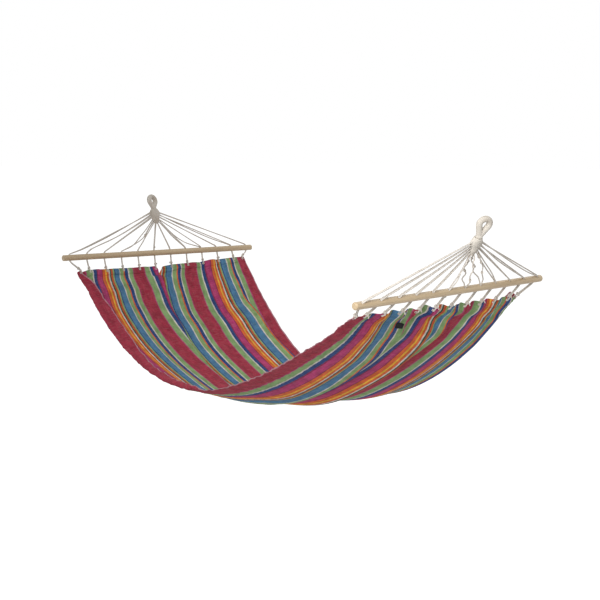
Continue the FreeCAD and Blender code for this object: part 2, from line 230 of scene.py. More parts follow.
@dataclass(frozen=True)
class LaidCotton:
    """Undyed laid cotton cord: it looks matt and slightly fuzzy, in paler and dustier patches."""

    name: str = "laid cotton cord undyed"
    pale: str = "#dad3ca"
    dusty: str = "#cec6bb"
    patch: float = 60 * MM
    fibre: float = 1.1 * MM

    def material(self) -> bpy.types.Material:
        """Make the cotton of cords, collars and eyes.

        Returns:
            The material.
        """
        material, tree, shader = new_material(self.name)
        place = add_node(tree, "ShaderNodeTexCoord").outputs["Object"]
        patches = add_node(
            tree, "ShaderNodeTexNoise", {"Vector": place, "Scale": 1 / self.patch, "Detail": 3.0}
        )
        tone = add_node(tree, "ShaderNodeValToRGB", {"Fac": patches.outputs["Fac"]})
        set_ramp(tone.color_ramp, [(0.36, linear(self.dusty)), (0.56, linear(self.pale))])
        tree.links.new(tone.outputs["Color"], shader.inputs["Base Color"])
        fibres = add_node(
            tree, "ShaderNodeTexNoise", {"Vector": place, "Scale": 1 / self.fibre, "Detail": 2.0}
        )
        bump = add_node(
            tree, "ShaderNodeBump", {"Height": fibres.outputs["Fac"], "Strength": 0.2, "Distance": 0.25 * MM}
        )
        tree.links.new(bump.outputs["Normal"], shader.inputs["Normal"])
        shader.inputs["Roughness"].default_value = 0.92
        shader.inputs["Specular IOR Level"].default_value = 0.2
        shader.inputs["Sheen Weight"].default_value = 0.06
        shader.inputs["Sheen Roughness"].default_value = 0.5
        return material


class Dye(Enum):
    """Yarn colours of the bed."""

    CRIMSON = "#a53448"
    PINK = "#b54a78"
    GREEN = "#8aab72"
    WHITE = "#d6cfc6"
    NAVY = "#2c4880"
    WINE = "#8c2b4c"
    MAGENTA = "#b63e72"
    ORANGE = "#da6734"
    YELLOW = "#ecb93d"
    BOTTLE = "#3b5142"
    RUST = "#c4552f"
    STEEL = "#4d7ea3"
    SELVEDGE = "#bd8792"


@dataclass(frozen=True)
class StripedCotton:
    """Plain-woven cotton in warp stripes: dyed warp over an undyed weft, with slubs.

    It shows soft matt stripes with uneven edges and tones, and creases whose ridges are painted paler and
    whose dents are painted darker, as painted light and shade.
    """

    repeat_stripes: tuple[tuple[Dye, float], ...] = (
        (Dye.CRIMSON, 58.5),
        (Dye.PINK, 5.0),
        (Dye.GREEN, 27.0),
        (Dye.WHITE, 5.5),
        (Dye.NAVY, 16.5),
        (Dye.WINE, 5.0),
        (Dye.MAGENTA, 26.0),
        (Dye.WINE, 4.0),
        (Dye.ORANGE, 14.0),
        (Dye.YELLOW, 6.0),
        (Dye.ORANGE, 11.0),
        (Dye.WHITE, 6.0),
        (Dye.BOTTLE, 5.5),
        (Dye.RUST, 9.5),
        (Dye.GREEN, 7.0),
        (Dye.NAVY, 5.0),
        (Dye.STEEL, 27.0),
        (Dye.WHITE, 5.5),
        (Dye.GREEN, 18.5),
        (Dye.ORANGE, 6.0),
        (Dye.NAVY, 16.5),
        (Dye.WHITE, 5.5),
        (Dye.GREEN, 22.0),
        (Dye.PINK, 5.0),
    )
    repeats: int = 3
    last_crimson: float = 36.0
    selvedge: float = 4.5
    thread: float = 2.2 * MM        # drawn at three times the real yarn, so that it shows
    slub_length: float = 34 * MM
    slub_width: float = 1.8 * MM
    crease_width: float = 24 * MM   # soft dents with painted shade and ridges with painted highlight, across and along the cloth
    crease_length: float = 38 * MM
    wander_size: float = 14 * MM    # the stripes' edges wander by wander_reach to each side
    wander_reach: float = 1.1 * MM
    weft: str = "#d8cfc4"

    def width(self) -> float:
        """Flat width of the cloth that the stripes fill, in metres."""
        stripes = sum(size for _, size in self.repeat_stripes)
        return (2 * self.selvedge + self.repeats * stripes + self.last_crimson) * MM

    def material(self) -> bpy.types.Material:
        """Make the striped cloth, which reads the flat cloth's width and length as its UV.

        Returns:
            The material.
        """
        material, tree, shader = new_material("cotton plain weave striped")
        flat = add_node(tree, "ShaderNodeUVMap", uv_map="flat").outputs[0]
        parts = add_node(tree, "ShaderNodeSeparateXYZ", {"Vector": flat}).outputs
        colour = self.stripes(tree, flat, parts)
        slub_scale = (1 / self.slub_width, 1 / self.slub_length, 1.0)
        slub_place = add_node(tree, "ShaderNodeMapping", {"Vector": flat, "Scale": slub_scale}).outputs[0]
        slubs = add_node(tree, "ShaderNodeTexNoise", {"Vector": slub_place, "Scale": 1.0, "Detail": 3.0})
        shade = add_node(
            tree,
            "ShaderNodeMapRange",
            {
                "Value": slubs.outputs["Fac"],
                "From Min": 0.3,
                "From Max": 0.7,
                "To Min": 0.78,
                "To Max": 1.16,
            },
        )
        crease_scale = (1 / self.crease_width, 1 / self.crease_length, 1.0)
        crease_place = add_node(tree, "ShaderNodeMapping", {"Vector": flat, "Scale": crease_scale}).outputs[0]
        creases = add_node(tree, "ShaderNodeTexNoise", {"Vector": crease_place, "Scale": 1.0, "Detail": 4.0})
        # Painted light and shade: the crease noise that also raises the creases' bump paints their ridges
        # paler and their dents darker.
        painted_crease_light = add_node(
            tree,
            "ShaderNodeMapRange",
            {
                "Value": creases.outputs["Fac"],
                "From Min": 0.37,
                "From Max": 0.63,
                "To Min": 0.82,
                "To Max": 1.14,
            },
        )
        tone = add_node(
            tree,
            "ShaderNodeMath",
            {0: shade.outputs["Result"], 1: painted_crease_light.outputs["Result"]},
            operation="MULTIPLY",
        ).outputs[0]
        shaded = add_node(
            tree,
            "ShaderNodeMix",
            {0: 1.0, 6: colour, 7: tone},
            data_type="RGBA",
            blend_type="MULTIPLY",
        )
        weft_scale = (1 / self.slub_length, 1 / self.slub_width, 1.0)
        weft_place = add_node(tree, "ShaderNodeMapping", {"Vector": flat, "Scale": weft_scale}).outputs[0]
        wefts = add_node(tree, "ShaderNodeTexNoise", {"Vector": weft_place, "Scale": 1.0, "Detail": 2.0})
        shows = add_node(
            tree,
            "ShaderNodeMapRange",
            {
                "Value": wefts.outputs["Fac"],
                "From Min": 0.48,
                "From Max": 0.78,
                "To Min": 0.0,
                "To Max": 0.15,
            },
        )
        woven = add_node(
            tree,
            "ShaderNodeMix",
            {0: shows.outputs["Result"], 6: shaded.outputs[2], 7: linear(self.weft)},
            data_type="RGBA",
        )
        tree.links.new(woven.outputs[2], shader.inputs["Base Color"])
        normal = self.relief(tree, flat, slubs.outputs["Fac"], creases.outputs["Fac"])
        tree.links.new(normal, shader.inputs["Normal"])
        shader.inputs["Roughness"].default_value = 0.9
        shader.inputs["Specular IOR Level"].default_value = 0.15
        shader.inputs["Sheen Weight"].default_value = 0.04
        shader.inputs["Sheen Roughness"].default_value = 0.45
        return material

    def stripes(
        self, tree: bpy.types.NodeTree, flat: bpy.types.NodeSocket, parts: bpy.types.NodeOutputs
    ) -> bpy.types.NodeSocket:
        """Colour of the warp at each place across the cloth.

        Args:
            tree: Node tree of the material.
            flat: Place on the flat cloth.
            parts: The same place as X, Y and Z.

        Returns:
            The socket that gives the colour.
        """
        wander = add_node(
            tree, "ShaderNodeTexNoise", {"Vector": flat, "Scale": 1 / self.wander_size, "Detail": 2.0}
        )
        drift = add_node(
            tree,
            "ShaderNodeMapRange",
            {"Value": wander.outputs["Fac"], "To Min": -self.wander_reach, "To Max": self.wander_reach},
        )
        across = add_node(
            tree, "ShaderNodeMath", {0: parts["X"], 1: drift.outputs["Result"]}, operation="ADD"
        ).outputs[0]
        period = sum(size for _, size in self.repeat_stripes)
        inside = add_node(
            tree, "ShaderNodeMath", {0: across, 1: self.selvedge * MM}, operation="SUBTRACT"
        ).outputs[0]
        turns = add_node(tree, "ShaderNodeMath", {0: inside, 1: period * MM}, operation="DIVIDE").outputs[0]
        repeat = add_node(tree, "ShaderNodeMath", {0: turns}, operation="FRACT").outputs[0]
        ramp = add_node(tree, "ShaderNodeValToRGB", {"Fac": repeat})
        stops = []
        place = 0.0
        for dye, size in self.repeat_stripes:
            stops.append((place / period, linear(dye.value)))
            place += size
        set_ramp(ramp.color_ramp, stops, sharp=True)
        middle = self.width() / 2
        off = add_node(tree, "ShaderNodeMath", {0: across, 1: middle}, operation="SUBTRACT").outputs[0]
        out = add_node(tree, "ShaderNodeMath", {0: off}, operation="ABSOLUTE").outputs[0]
        border = add_node(
            tree, "ShaderNodeMath", {0: out, 1: middle - self.selvedge * MM}, operation="GREATER_THAN"
        ).outputs[0]
        edged = add_node(
            tree,
            "ShaderNodeMix",
            {0: border, 6: ramp.outputs["Color"], 7: linear(Dye.SELVEDGE.value)},
            data_type="RGBA",
        )
        return edged.outputs[2]

    def relief(
        self,
        tree: bpy.types.NodeTree,
        flat: bpy.types.NodeSocket,
        slubs: bpy.types.NodeSocket,
        creases: bpy.types.NodeSocket,
    ) -> bpy.types.NodeSocket:
        """Bump of the weave, its slubs and its small creases.

        Args:
            tree: Node tree of the material.
            flat: Place on the flat cloth.
            slubs: How thick the yarn is.
            creases: How high the crumpled cloth stands.

        Returns:
            The socket that gives the normal.
        """
        waves = []
        for direction in ("X", "Y"):
            wave = add_node(
                tree,
                "ShaderNodeTexWave",
                {"Vector": flat, "Scale": math.pi / 10 / self.thread, "Distortion": 0.6},
                wave_type="BANDS",
                bands_direction=direction,
            )
            waves.append(wave.outputs["Fac"])
        weave = add_node(tree, "ShaderNodeMath", {0: waves[0], 1: waves[1]}, operation="MAXIMUM").outputs[0]
        first = add_node(tree, "ShaderNodeBump", {"Height": weave, "Strength": 0.35, "Distance": 0.5 * MM})
        second = add_node(
            tree,
            "ShaderNodeBump",
            {"Height": slubs, "Strength": 0.4, "Distance": 0.8 * MM, "Normal": first.outputs["Normal"]},
        )
        third = add_node(
            tree,
            "ShaderNodeBump",
            {
                "Height": creases,
                "Strength": 0.8,
                "Distance": 8 * MM,
                "Normal": second.outputs["Normal"],
            },
        )
        return third.outputs["Normal"]


@dataclass(frozen=True)
class LabelTape:
    """Black woven polyester tape: it shows a fine ribbed face with a slight shine, and its rib crests are
    painted lighter as painted highlight.
    """

    black: str = "#0d0d0f"
    painted_rib_highlight: str = "#1d1d20"
    rib: float = 1.4 * MM

    def material(self) -> bpy.types.Material:
        """Make the tape of the plain label.

        Returns:
            The material.
        """
        material, tree, shader = new_material("woven tape black")
        flat = add_node(tree, "ShaderNodeUVMap", uv_map="flat").outputs[0]
        ribs = add_node(
            tree,
            "ShaderNodeTexWave",
            {"Vector": flat, "Scale": math.pi / 10 / self.rib, "Distortion": 0.3},
            bands_direction="Y",
        )
        # Painted highlight on the rib crests and painted shade in the grooves, from the same rib wave as the
        # bump.
        tone = add_node(tree, "ShaderNodeValToRGB", {"Fac": ribs.outputs["Fac"]})
        set_ramp(tone.color_ramp, [(0.0, linear(self.black)), (1.0, linear(self.painted_rib_highlight))])
        tree.links.new(tone.outputs["Color"], shader.inputs["Base Color"])
        bump = add_node(
            tree, "ShaderNodeBump", {"Height": ribs.outputs["Fac"], "Strength": 0.5, "Distance": 0.3 * MM}
        )
        tree.links.new(bump.outputs["Normal"], shader.inputs["Normal"])
        shader.inputs["Roughness"].default_value = 0.75
        shader.inputs["Specular IOR Level"].default_value = 0.2
        return material


# ---- places of the construction --------------------------------------------------------
@dataclass(frozen=True)
class Sizes:
    """Driving sizes that both ends share, in metres."""

    bar_length: float = 1.0
    bar_d: float = 0.026
    bar_span: float = 1.767
    hole_inset: float = 0.029
    neck_height: float = 0.2
    eye_rope_d: float = 0.022
    eye_bend_r: float = 0.019
    neck_ball_d: float = 0.025
    neck_gap: float = 0.0004
    collar_top: float = 0.007
    collar_length: float = 0.066
    cord_d: float = 0.004
    cord_gap: float = 0.0006
    mouth_reach: float = 0.002
    leg_spread: float = 0.005
    first_exit: tuple[float, float] = (0.018, 0.021)
    last_exit: tuple[float, float] = (0.004, 0.069)
    knot_cord_d: float = 0.0034
    knot_from_hem: float = 0.009
    cloth_solid: float = 0.003
    cord_stand_off: float = 0.0009
    hem_width: float = 0.036
    eyelet_inset: float = 0.012
    eyelet_side_margin: float = 0.011
    half_width: float = 0.441
    waist: float = 0.022
    near_sag: float = 0.38
    near_lean: float = 0.72
    far_sag: float = 0.505
    far_lean: float = 0.0
    cup: float = 0.03
    cup_lean: float = 2.2


SIZES = Sizes()


def mix(a, b, share: float):
    """Value between a at share 0 and b at share 1."""
    return a * (1 - share) + b * share


@dataclass(frozen=True)
class End:
    """One end of the hammock, head or foot, in metres and degrees."""

    name: str
    side: int
    turn: float
    tilt: float
    roll: float
    rise: float
    neck_out: float
    eye_reach: float
    eye_turn: float
    near_in: float
    near_drop: float
    far_in: float
    far_drop: float
    cup: float
    body: Body

    def raw_bar(self) -> Vector:
        """Middle of the bar, counted from midway between the bars."""
        return Vector((self.side * SIZES.bar_span / 2, 0, self.rise))

    def raw_neck(self) -> Vector:
        """Neck that the collar hangs from, counted from midway between the bars."""
        return Vector((self.side * (SIZES.bar_span / 2 + self.neck_out), 0, SIZES.neck_height))

    def fan_up(self) -> Vector:
        """Unit vector from the middle of the bar up to the neck."""
        return (self.raw_neck() - self.raw_bar()).normalized()

    def bar_middle(self) -> Vector:
        """Middle of the bar in the part's frame."""
        return self.raw_bar() - origin()

    def bar_matrix(self) -> Matrix:
        """Frame at the bar's middle: X inwards, Y along the bar, Z up."""
        heading = math.radians(self.turn if self.side < 0 else 180 + self.turn)
        spin = Matrix.Rotation(heading, 4, "Z")
        lean = Matrix.Rotation(math.radians(-self.side * self.tilt), 4, "X")
        return Matrix.Translation(self.bar_middle()) @ spin @ lean

    def fan_matrix(self) -> Matrix:
        """Frame at the neck: Z up the fan's middle line, Y across the fan."""
        up = self.fan_up()
        across = Vector((0, 1, 0))
        turn = Matrix((across.cross(up), across, up)).transposed().to_4x4()
        return Matrix.Translation(self.raw_neck() - origin()) @ turn

    def on_bar(self, inwards: float, across: float, up: float) -> Vector:
        """Point given from the bar's middle, with across counted from near to far."""
        return self.bar_matrix() @ Vector((inwards, -self.side * across, up))

    def bar_point(self, beside: float, across: float, along_hole: float) -> Vector:
        """Point near a hole: beside its middle line, across the bed, and up along it."""
        roll = math.radians(self.roll)
        inwards = beside * math.cos(roll) - along_hole * math.sin(roll)
        up = beside * math.sin(roll) + along_hole * math.cos(roll)
        return self.on_bar(inwards, across, up)


def origin() -> Vector:
    """Point of the head eye where its hook bears, counted from midway between the bars."""
    reach = HEAD.eye_reach + SIZES.eye_bend_r - SIZES.eye_rope_d / 2
    return HEAD.raw_neck() + HEAD.fan_up() * reach


HEAD = End(
    name="head",
    side=-1,
    turn=-2.5,
    tilt=-0.16,
    roll=12.0,
    rise=0.0,
    neck_out=0.068,
    eye_reach=0.034,
    eye_turn=13.0,
    near_in=0.028,
    near_drop=0.052,
    far_in=0.02,
    far_drop=0.038,
    cup=0.02,
    body=Body.BED,
)
FOOT = End(
    name="foot",
    side=1,
    turn=2.7,
    tilt=0.74,
    roll=38.0,
    rise=0.005,
    neck_out=0.098,
    eye_reach=0.046,
    eye_turn=-18.0,
    near_in=0.06,
    near_drop=0.046,
    far_in=0.058,
    far_drop=0.066,
    cup=0.008,
    body=Body.FOOT,
)


def hole_offset(number: int) -> float:
    """Place of a hole along its bar, counted from the near end."""
    pitch = (SIZES.bar_length - 2 * SIZES.hole_inset) / (HOLE_COUNT - 1)
    return -SIZES.bar_length / 2 + SIZES.hole_inset + (number - 1) * pitch


def eyelet_place(number: int) -> float:
    """Place of an eyelet across the cloth, from -1 near to 1 far."""
    outer = SIZES.half_width - SIZES.eyelet_side_margin
    return max(-outer, min(outer, hole_offset(number))) / SIZES.half_width


class HangingShape:
    """Surface that the unloaded cloth hangs in, from the head hem (share 0) to the foot hem."""

    def hang(self, share: float, sag: float, lean: float) -> float:
        """Depth of a hanging line at a share of the way."""
        return sag * 4 * share * (1 - share) * (1 + lean * (0.5 - share))

    def edge_point(self, share: float, across: float) -> Vector:
        """Point on the near (-1) or far (+1) edge.

        Args:
            share: Share of the way from head to foot.
            across: -1 for the near edge, 1 for the far one.

        Returns:
            The point.
        """
        near = across < 0
        corners = []
        for end in (HEAD, FOOT):
            inwards = end.near_in if near else end.far_in
            drop = end.near_drop if near else end.far_drop
            corners.append(end.on_bar(inwards, across * SIZES.half_width, -drop))
        sag, lean = (SIZES.near_sag, SIZES.near_lean) if near else (SIZES.far_sag, SIZES.far_lean)
        waist = -across * SIZES.waist * 4 * share * (1 - share)
        return mix(corners[0], corners[1], share) + Vector((0, waist, -self.hang(share, sag, lean)))

    def middle_line(self, share: float) -> Vector:
        """Point midway between the two edges."""
        return mix(self.edge_point(share, -1), self.edge_point(share, 1), 0.5)

    def normal(self, share: float) -> Vector:
        """Unit vector out of the upper face."""
        step = 0.001
        along = self.middle_line(share + step) - self.middle_line(share - step)
        across = self.edge_point(share, 1) - self.edge_point(share, -1)
        return along.cross(across).normalized()

    def cup_depth(self, share: float) -> float:
        """How far the middle hangs below the line between the edges."""
        return mix(HEAD.cup, FOOT.cup, share) + self.hang(share, SIZES.cup, SIZES.cup_lean)

    def point(self, share: float, across: float, lift: float = 0.0) -> Vector:
        """Point of the surface, lifted off it along the normal."""
        chord = mix(self.edge_point(share, -1), self.edge_point(share, 1), (across + 1) / 2)
        return chord + self.normal(share) * (lift - self.cup_depth(share) * (1 - across**2))

    def share_at(self, distance: float, end: End) -> float:
        """Share of the way at a distance along the cloth from an end's edge.

        Args:
            distance: Distance along the middle line, in metres.
            end: End that it is counted from.

        Returns:
            The share, counted from the head.
        """
        steps = 2000
        travelled = 0.0
        last = self.middle_line(0.0 if end.side < 0 else 1.0)
        for step in range(1, steps + 1):
            share = step / steps if end.side < 0 else 1 - step / steps
            point = self.middle_line(share)
            run = (point - last).length
            if travelled + run >= distance:
                spare = (distance - travelled) / run
                return share - end.side * (spare - 1) / steps
            travelled += run
            last = point
        raise ValueError(f"the cloth is shorter than {distance}")


SHAPE = HangingShape()


# ---- meshes ---------------------------------------------------------------------------
def wrapped_grid(
    name: str,
    columns: int,
    rows: int,
    place: Callable[[int, int], Vector],
    closed: bool = True,
    flat: Callable[[int, int], tuple[float, float]] | None = None,
) -> bpy.types.Object:
    """Lay a grid over a surface, and close it round when it is a tube.

    Args:
        name: Name of the piece.
        columns: Faces across the grid, or round the tube.
        rows: Faces along it.
        place: Gives the point for a column and a row.
        closed: Whether the last column meets the first, and the ends are filled.
        flat: Gives the UV for a column and a row.

    Returns:
        The new object, at the origin.
    """
    bm = bmesh.new()
    uv = bm.loops.layers.uv.new("flat")
    bmesh.ops.create_grid(bm, x_segments=columns, y_segments=rows, size=1.0)
    spots = {}
    for vert in bm.verts:
        column = round((vert.co.x + 1) / 2 * columns)
        row = round((vert.co.y + 1) / 2 * rows)
        spots[vert] = (column, row)
        vert.co = place(column, row)
    if flat is not None:
        for face in bm.faces:
            for loop in face.loops:
                loop[uv].uv = flat(*spots[loop.vert])
    if closed:
        bmesh.ops.remove_doubles(bm, verts=bm.verts, dist=1e-6)
        bmesh.ops.holes_fill(bm, edges=[e for e in bm.edges if e.is_boundary], sides=0)
        bmesh.ops.recalc_face_normals(bm, faces=bm.faces)
    for face in bm.faces:
        face.smooth = True
    mesh = bpy.data.meshes.new(name)
    bm.to_mesh(mesh)
    bm.free()
    piece = bpy.data.objects.new(name, mesh)
    bpy.context.scene.collection.objects.link(piece)
    return piece


def even_points(line: list[Vector], step: float) -> list[Vector]:
    """Space points evenly along a line.

    Args:
        line: Points of the line, close together.
        step: Distance wanted between points.

    Returns:
        The evenly spaced points, with both ends of the line.
    """
    lengths = [(b - a).length for a, b in zip(line, line[1:])]
    count = max(2, round(sum(lengths) / step))
    gap = sum(lengths) / count
    points = [line[0].copy()]
    travelled, index = 0.0, 0
    for number in range(1, count):
        target = number * gap
        while travelled + lengths[index] < target:
            travelled += lengths[index]
            index += 1
        points.append(line[index].lerp(line[index + 1], (target - travelled) / lengths[index]))
    return points + [line[-1].copy()]


def carried_frames(points: list[Vector]) -> list[tuple[Vector, Vector, Vector]]:
    """Frames carried along a line without twist.

    Args:
        points: Points of the line.

    Returns:
        For each point the point itself and two unit vectors square to the line.
    """
    frames = []
    last = (points[1] - points[0]).normalized()
    first = last.orthogonal().normalized()
    for index, point in enumerate(points):
        ahead = points[min(index + 1, len(points) - 1)]
        behind = points[max(index - 1, 0)]
        tangent = (ahead - behind).normalized()
        first = last.rotation_difference(tangent) @ first
        first = (first - tangent * first.dot(tangent)).normalized()
        frames.append((point, first, tangent.cross(first)))
        last = tangent
    return frames


def rope_tube(
    name: str, points: list[Vector], sides: int, radius: Callable[[float, float], float]
) -> bpy.types.Object:
    """Sweep a ring along a line.

    Args:
        name: Name of the piece.
        points: Evenly spaced points of the line.
        sides: Faces round the tube.
        radius: Gives the radius for an angle round the tube and a distance along it.

    Returns:
        The tube, with filled ends.
    """
    frames = carried_frames(points)
    step = (points[1] - points[0]).length

    def place(column: int, row: int) -> Vector:
        """Point of the tube's surface."""
        angle = 2 * math.pi * (column % sides) / sides
        middle, first, second = frames[row]
        reach = radius(angle, row * step)
        return middle + (first * math.cos(angle) + second * math.sin(angle)) * reach

    def flat(column: int, row: int) -> tuple[float, float]:
        """Distance round the tube and along it."""
        return (column / sides, row * step)

    return wrapped_grid(name, sides, len(points) - 1, place, True, flat)


def joined(name: str, pieces: list[bpy.types.Object]) -> bpy.types.Object:
    """Join pieces into one object.

    Args:
        name: Name of the joined object.
        pieces: The objects, of which the first one stays.

    Returns:
        The joined object.
    """
    with bpy.context.temp_override(active_object=pieces[0], selected_editable_objects=pieces):
        bpy.ops.object.join()
    pieces[0].name = name
    pieces[0].data.name = name
    return pieces[0]


def dress(piece: bpy.types.Object, material: bpy.types.Material, slot: Slot, body: Body | None) -> None:
    """Give a piece its material and the body it rides on.

    Args:
        piece: The piece.
        material: Its material.
        slot: The record's slot; not used.
        body: The body, or None where the piece is blended between two.
    """
    piece.data.materials.clear()
    piece.data.materials.append(material)
    if body is not None:
        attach(piece, body.value)
    log.info("%s: %s", piece.name, material.name)


def jitter(*key: float) -> float:
    """Repeatable uneven number from -1 to 1."""
    return noise.noise(Vector((key + (0.37, 0.73, 0.19))[:3]) * 7.31)


# ---- wood and rope ----------------------------------------------------------------------
@dataclass
class SpreaderBars:
    """The two drilled dowels, which keep their construction shape."""

    finish: BeechDowel = BeechDowel()

    def build(self) -> None:
        """Give both bars their wood."""
        for end in (HEAD, FOOT):
            wood = self.finish.material(end)
            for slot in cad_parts[f"{end.name}_bar"].material_slots:
                slot.material = wood
            log.info("%s_bar: %s", end.name, wood.name)


@dataclass
class HookEyes:
    """Served rope eyes: a loop of cords wound tightly with cord, over a wound neck."""

    cotton: bpy.types.Material
    winding: float = 3.2 * MM
    groove: float = 0.45 * MM
    sides: int = 28
    rows_per_turn: int = 6

    def ridge(self, angle: float, along: float) -> float:
        """How far the surface lies under the winding's crown."""
        turns = along / self.winding + angle / (2 * math.pi)
        return self.groove * (1 - abs(math.sin(math.pi * turns)) ** 0.6)

    def build(self) -> None:
        """Build both eyes."""
        for end in (HEAD, FOOT):
            eye = joined(f"{end.name}_eye_served", [self.loop(end), self.neck(end)])
            dress(eye, self.cotton, Slot.COLLAR, Body.HANGERS)
            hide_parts(f"{end.name}_eye")

    def eye_matrix(self, end: End) -> Matrix:
        """Frame of the eye: Z up from the neck, Y in the loop's plane."""
        return end.fan_matrix() @ Matrix.Rotation(math.radians(end.eye_turn), 4, "Z")

    def loop(self, end: End) -> bpy.types.Object:
        """Build the loop: up one leg, round the bend and down the other.

        Args:
            end: End of the hammock.

        Returns:
            The loop.
        """
        opening = math.asin(SIZES.eye_bend_r / end.eye_reach)
        leg = end.eye_reach * math.cos(opening)
        bend = Vector((0, 0, end.eye_reach))
        line = []
        steps = 40
        for index in range(steps):
            share = index / steps
            line.append(Vector((0, -math.sin(opening), math.cos(opening))) * leg * share)
        for index in range(2 * steps + 1):
            turn = mix(-math.pi / 2 - opening, math.pi / 2 + opening, index / (2 * steps))
            line.append(bend + Vector((0, math.sin(turn), math.cos(turn))) * SIZES.eye_bend_r)
        for index in range(1, steps + 1):
            share = 1 - index / steps
            line.append(Vector((0, math.sin(opening), math.cos(opening))) * leg * share)
        place = self.eye_matrix(end)
        points = even_points([place @ point for point in line], self.winding / self.rows_per_turn)
        crown = SIZES.eye_rope_d / 2
        return rope_tube("loop", points, self.sides, lambda angle, along: crown - self.ridge(angle, along))

    def neck(self, end: End) -> bpy.types.Object:
        """Build the ball of winding that turns in the collar.

        Args:
            end: End of the hammock.

        Returns:
            The ball.
        """
        reach = SIZES.neck_ball_d / 2
        place = self.eye_matrix(end)
        rows = 44

        def point(column: int, row: int) -> Vector:
            """Point of the wound ball.

            Args:
                column: Column of the grid.
                row: Row of the grid.

            Returns:
                The point.
            """
            angle = 2 * math.pi * (column % self.sides) / self.sides
            height = mix(-math.pi / 2, math.pi / 2, row / rows)
            radius = (reach - self.ridge(angle, math.sin(height) * reach) / 2) * math.cos(height)
            up = math.sin(height) * reach
            return place @ Vector((radius * math.cos(angle), radius * math.sin(angle), up))

        return wrapped_grid("neck", self.sides, rows, point)


@dataclass
class Collars:
    """Woven collars: cords plaited over each other into a flat tapering body."""

    cotton: bpy.types.Material
    sections: tuple[tuple[float, float, float], ...] = (
        (0.0, 0.034, 0.029),
        (0.28, 0.052, 0.029),
        (0.66, 0.036, 0.024),
        (1.0, 0.017, 0.015),
    )
    strand: float = 5.2 * MM
    relief: float = 1.8 * MM
    proud: float = 1.4 * MM
    sides: int = 96
    rows: int = 110
    cup_rows: int = 10

    def outline(self, share: float) -> tuple[float, float]:
        """Half width and half thickness at a share of the collar's length.

        Args:
            share: Share of the collar's length, from its lip.

        Returns:
            Half the width and half the thickness, in metres.
        """
        for (a, wide_a, thick_a), (b, wide_b, thick_b) in zip(self.sections, self.sections[1:]):
            if share <= b:
                ease = (share - a) / (b - a)
                ease = ease * ease * (3 - 2 * ease)
                return mix(wide_a, wide_b, ease) / 2, mix(thick_a, thick_b, ease) / 2
        return self.sections[-1][1] / 2, self.sections[-1][2] / 2

    def plait(self, around: float, along: float) -> float:
        """Depth of the surface under the crown of the plaited strands.

        Args:
            around: Distance round the collar, in metres.
            along: Distance down the collar, in metres.

        Returns:
            The depth in metres.
        """
        first = math.pi * (around + along) / self.strand
        second = math.pi * (around - along) / self.strand
        over = math.cos(first) * math.cos(second)
        one = abs(math.cos(first)) ** 0.7 * (0.62 + 0.38 * over)
        other = abs(math.cos(second)) ** 0.7 * (0.62 - 0.38 * over)
        return self.relief * (1 - max(one, other))

    def build(self) -> None:
        """Build both collars."""
        for end in (HEAD, FOOT):
            collar = self.collar(end)
            dress(collar, self.cotton, Slot.COLLAR, end.body)
            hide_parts(f"{end.name}_collar")

    def collar(self, end: End) -> bpy.types.Object:
        """Build one collar, from the bottom of its cup over the lip down to the tip.

        Args:
            end: End of the hammock.

        Returns:
            The collar.
        """
        place = end.fan_matrix()
        cup = SIZES.neck_ball_d / 2 + SIZES.neck_gap
        rim = math.acos(SIZES.collar_top / cup)

        def point(column: int, row: int) -> Vector:
            """Point of the cup or of the plaited outside.

            Args:
                column: Column of the grid.
                row: Row of the grid.

            Returns:
                The point.
            """
            angle = 2 * math.pi * (column % self.sides) / self.sides
            if row <= self.cup_rows:
                polar = rim * row / self.cup_rows
                radius = cup * math.sin(polar)
                depth = cup * math.cos(polar)
                return place @ Vector((radius * math.cos(angle), radius * math.sin(angle), -depth))
            share = (row - self.cup_rows - 1) / (self.rows - self.cup_rows - 2)
            if row == self.rows:
                return place @ Vector((0, 0, -SIZES.collar_top - SIZES.collar_length - 1.5 * MM))
            half_wide, half_thick = self.outline(share)
            around = angle * (half_wide + half_thick) / 2
            depth = (self.plait(around, share * SIZES.collar_length) - self.proud) * min(1, 12 * share)
            across = (half_wide - depth) * math.sin(angle)
            through = (half_thick - depth) * math.cos(angle)
            return place @ Vector((through, across, -SIZES.collar_top - share * SIZES.collar_length))

        return wrapped_grid(f"{end.name}_collar_plaited", self.sides, self.rows, point)


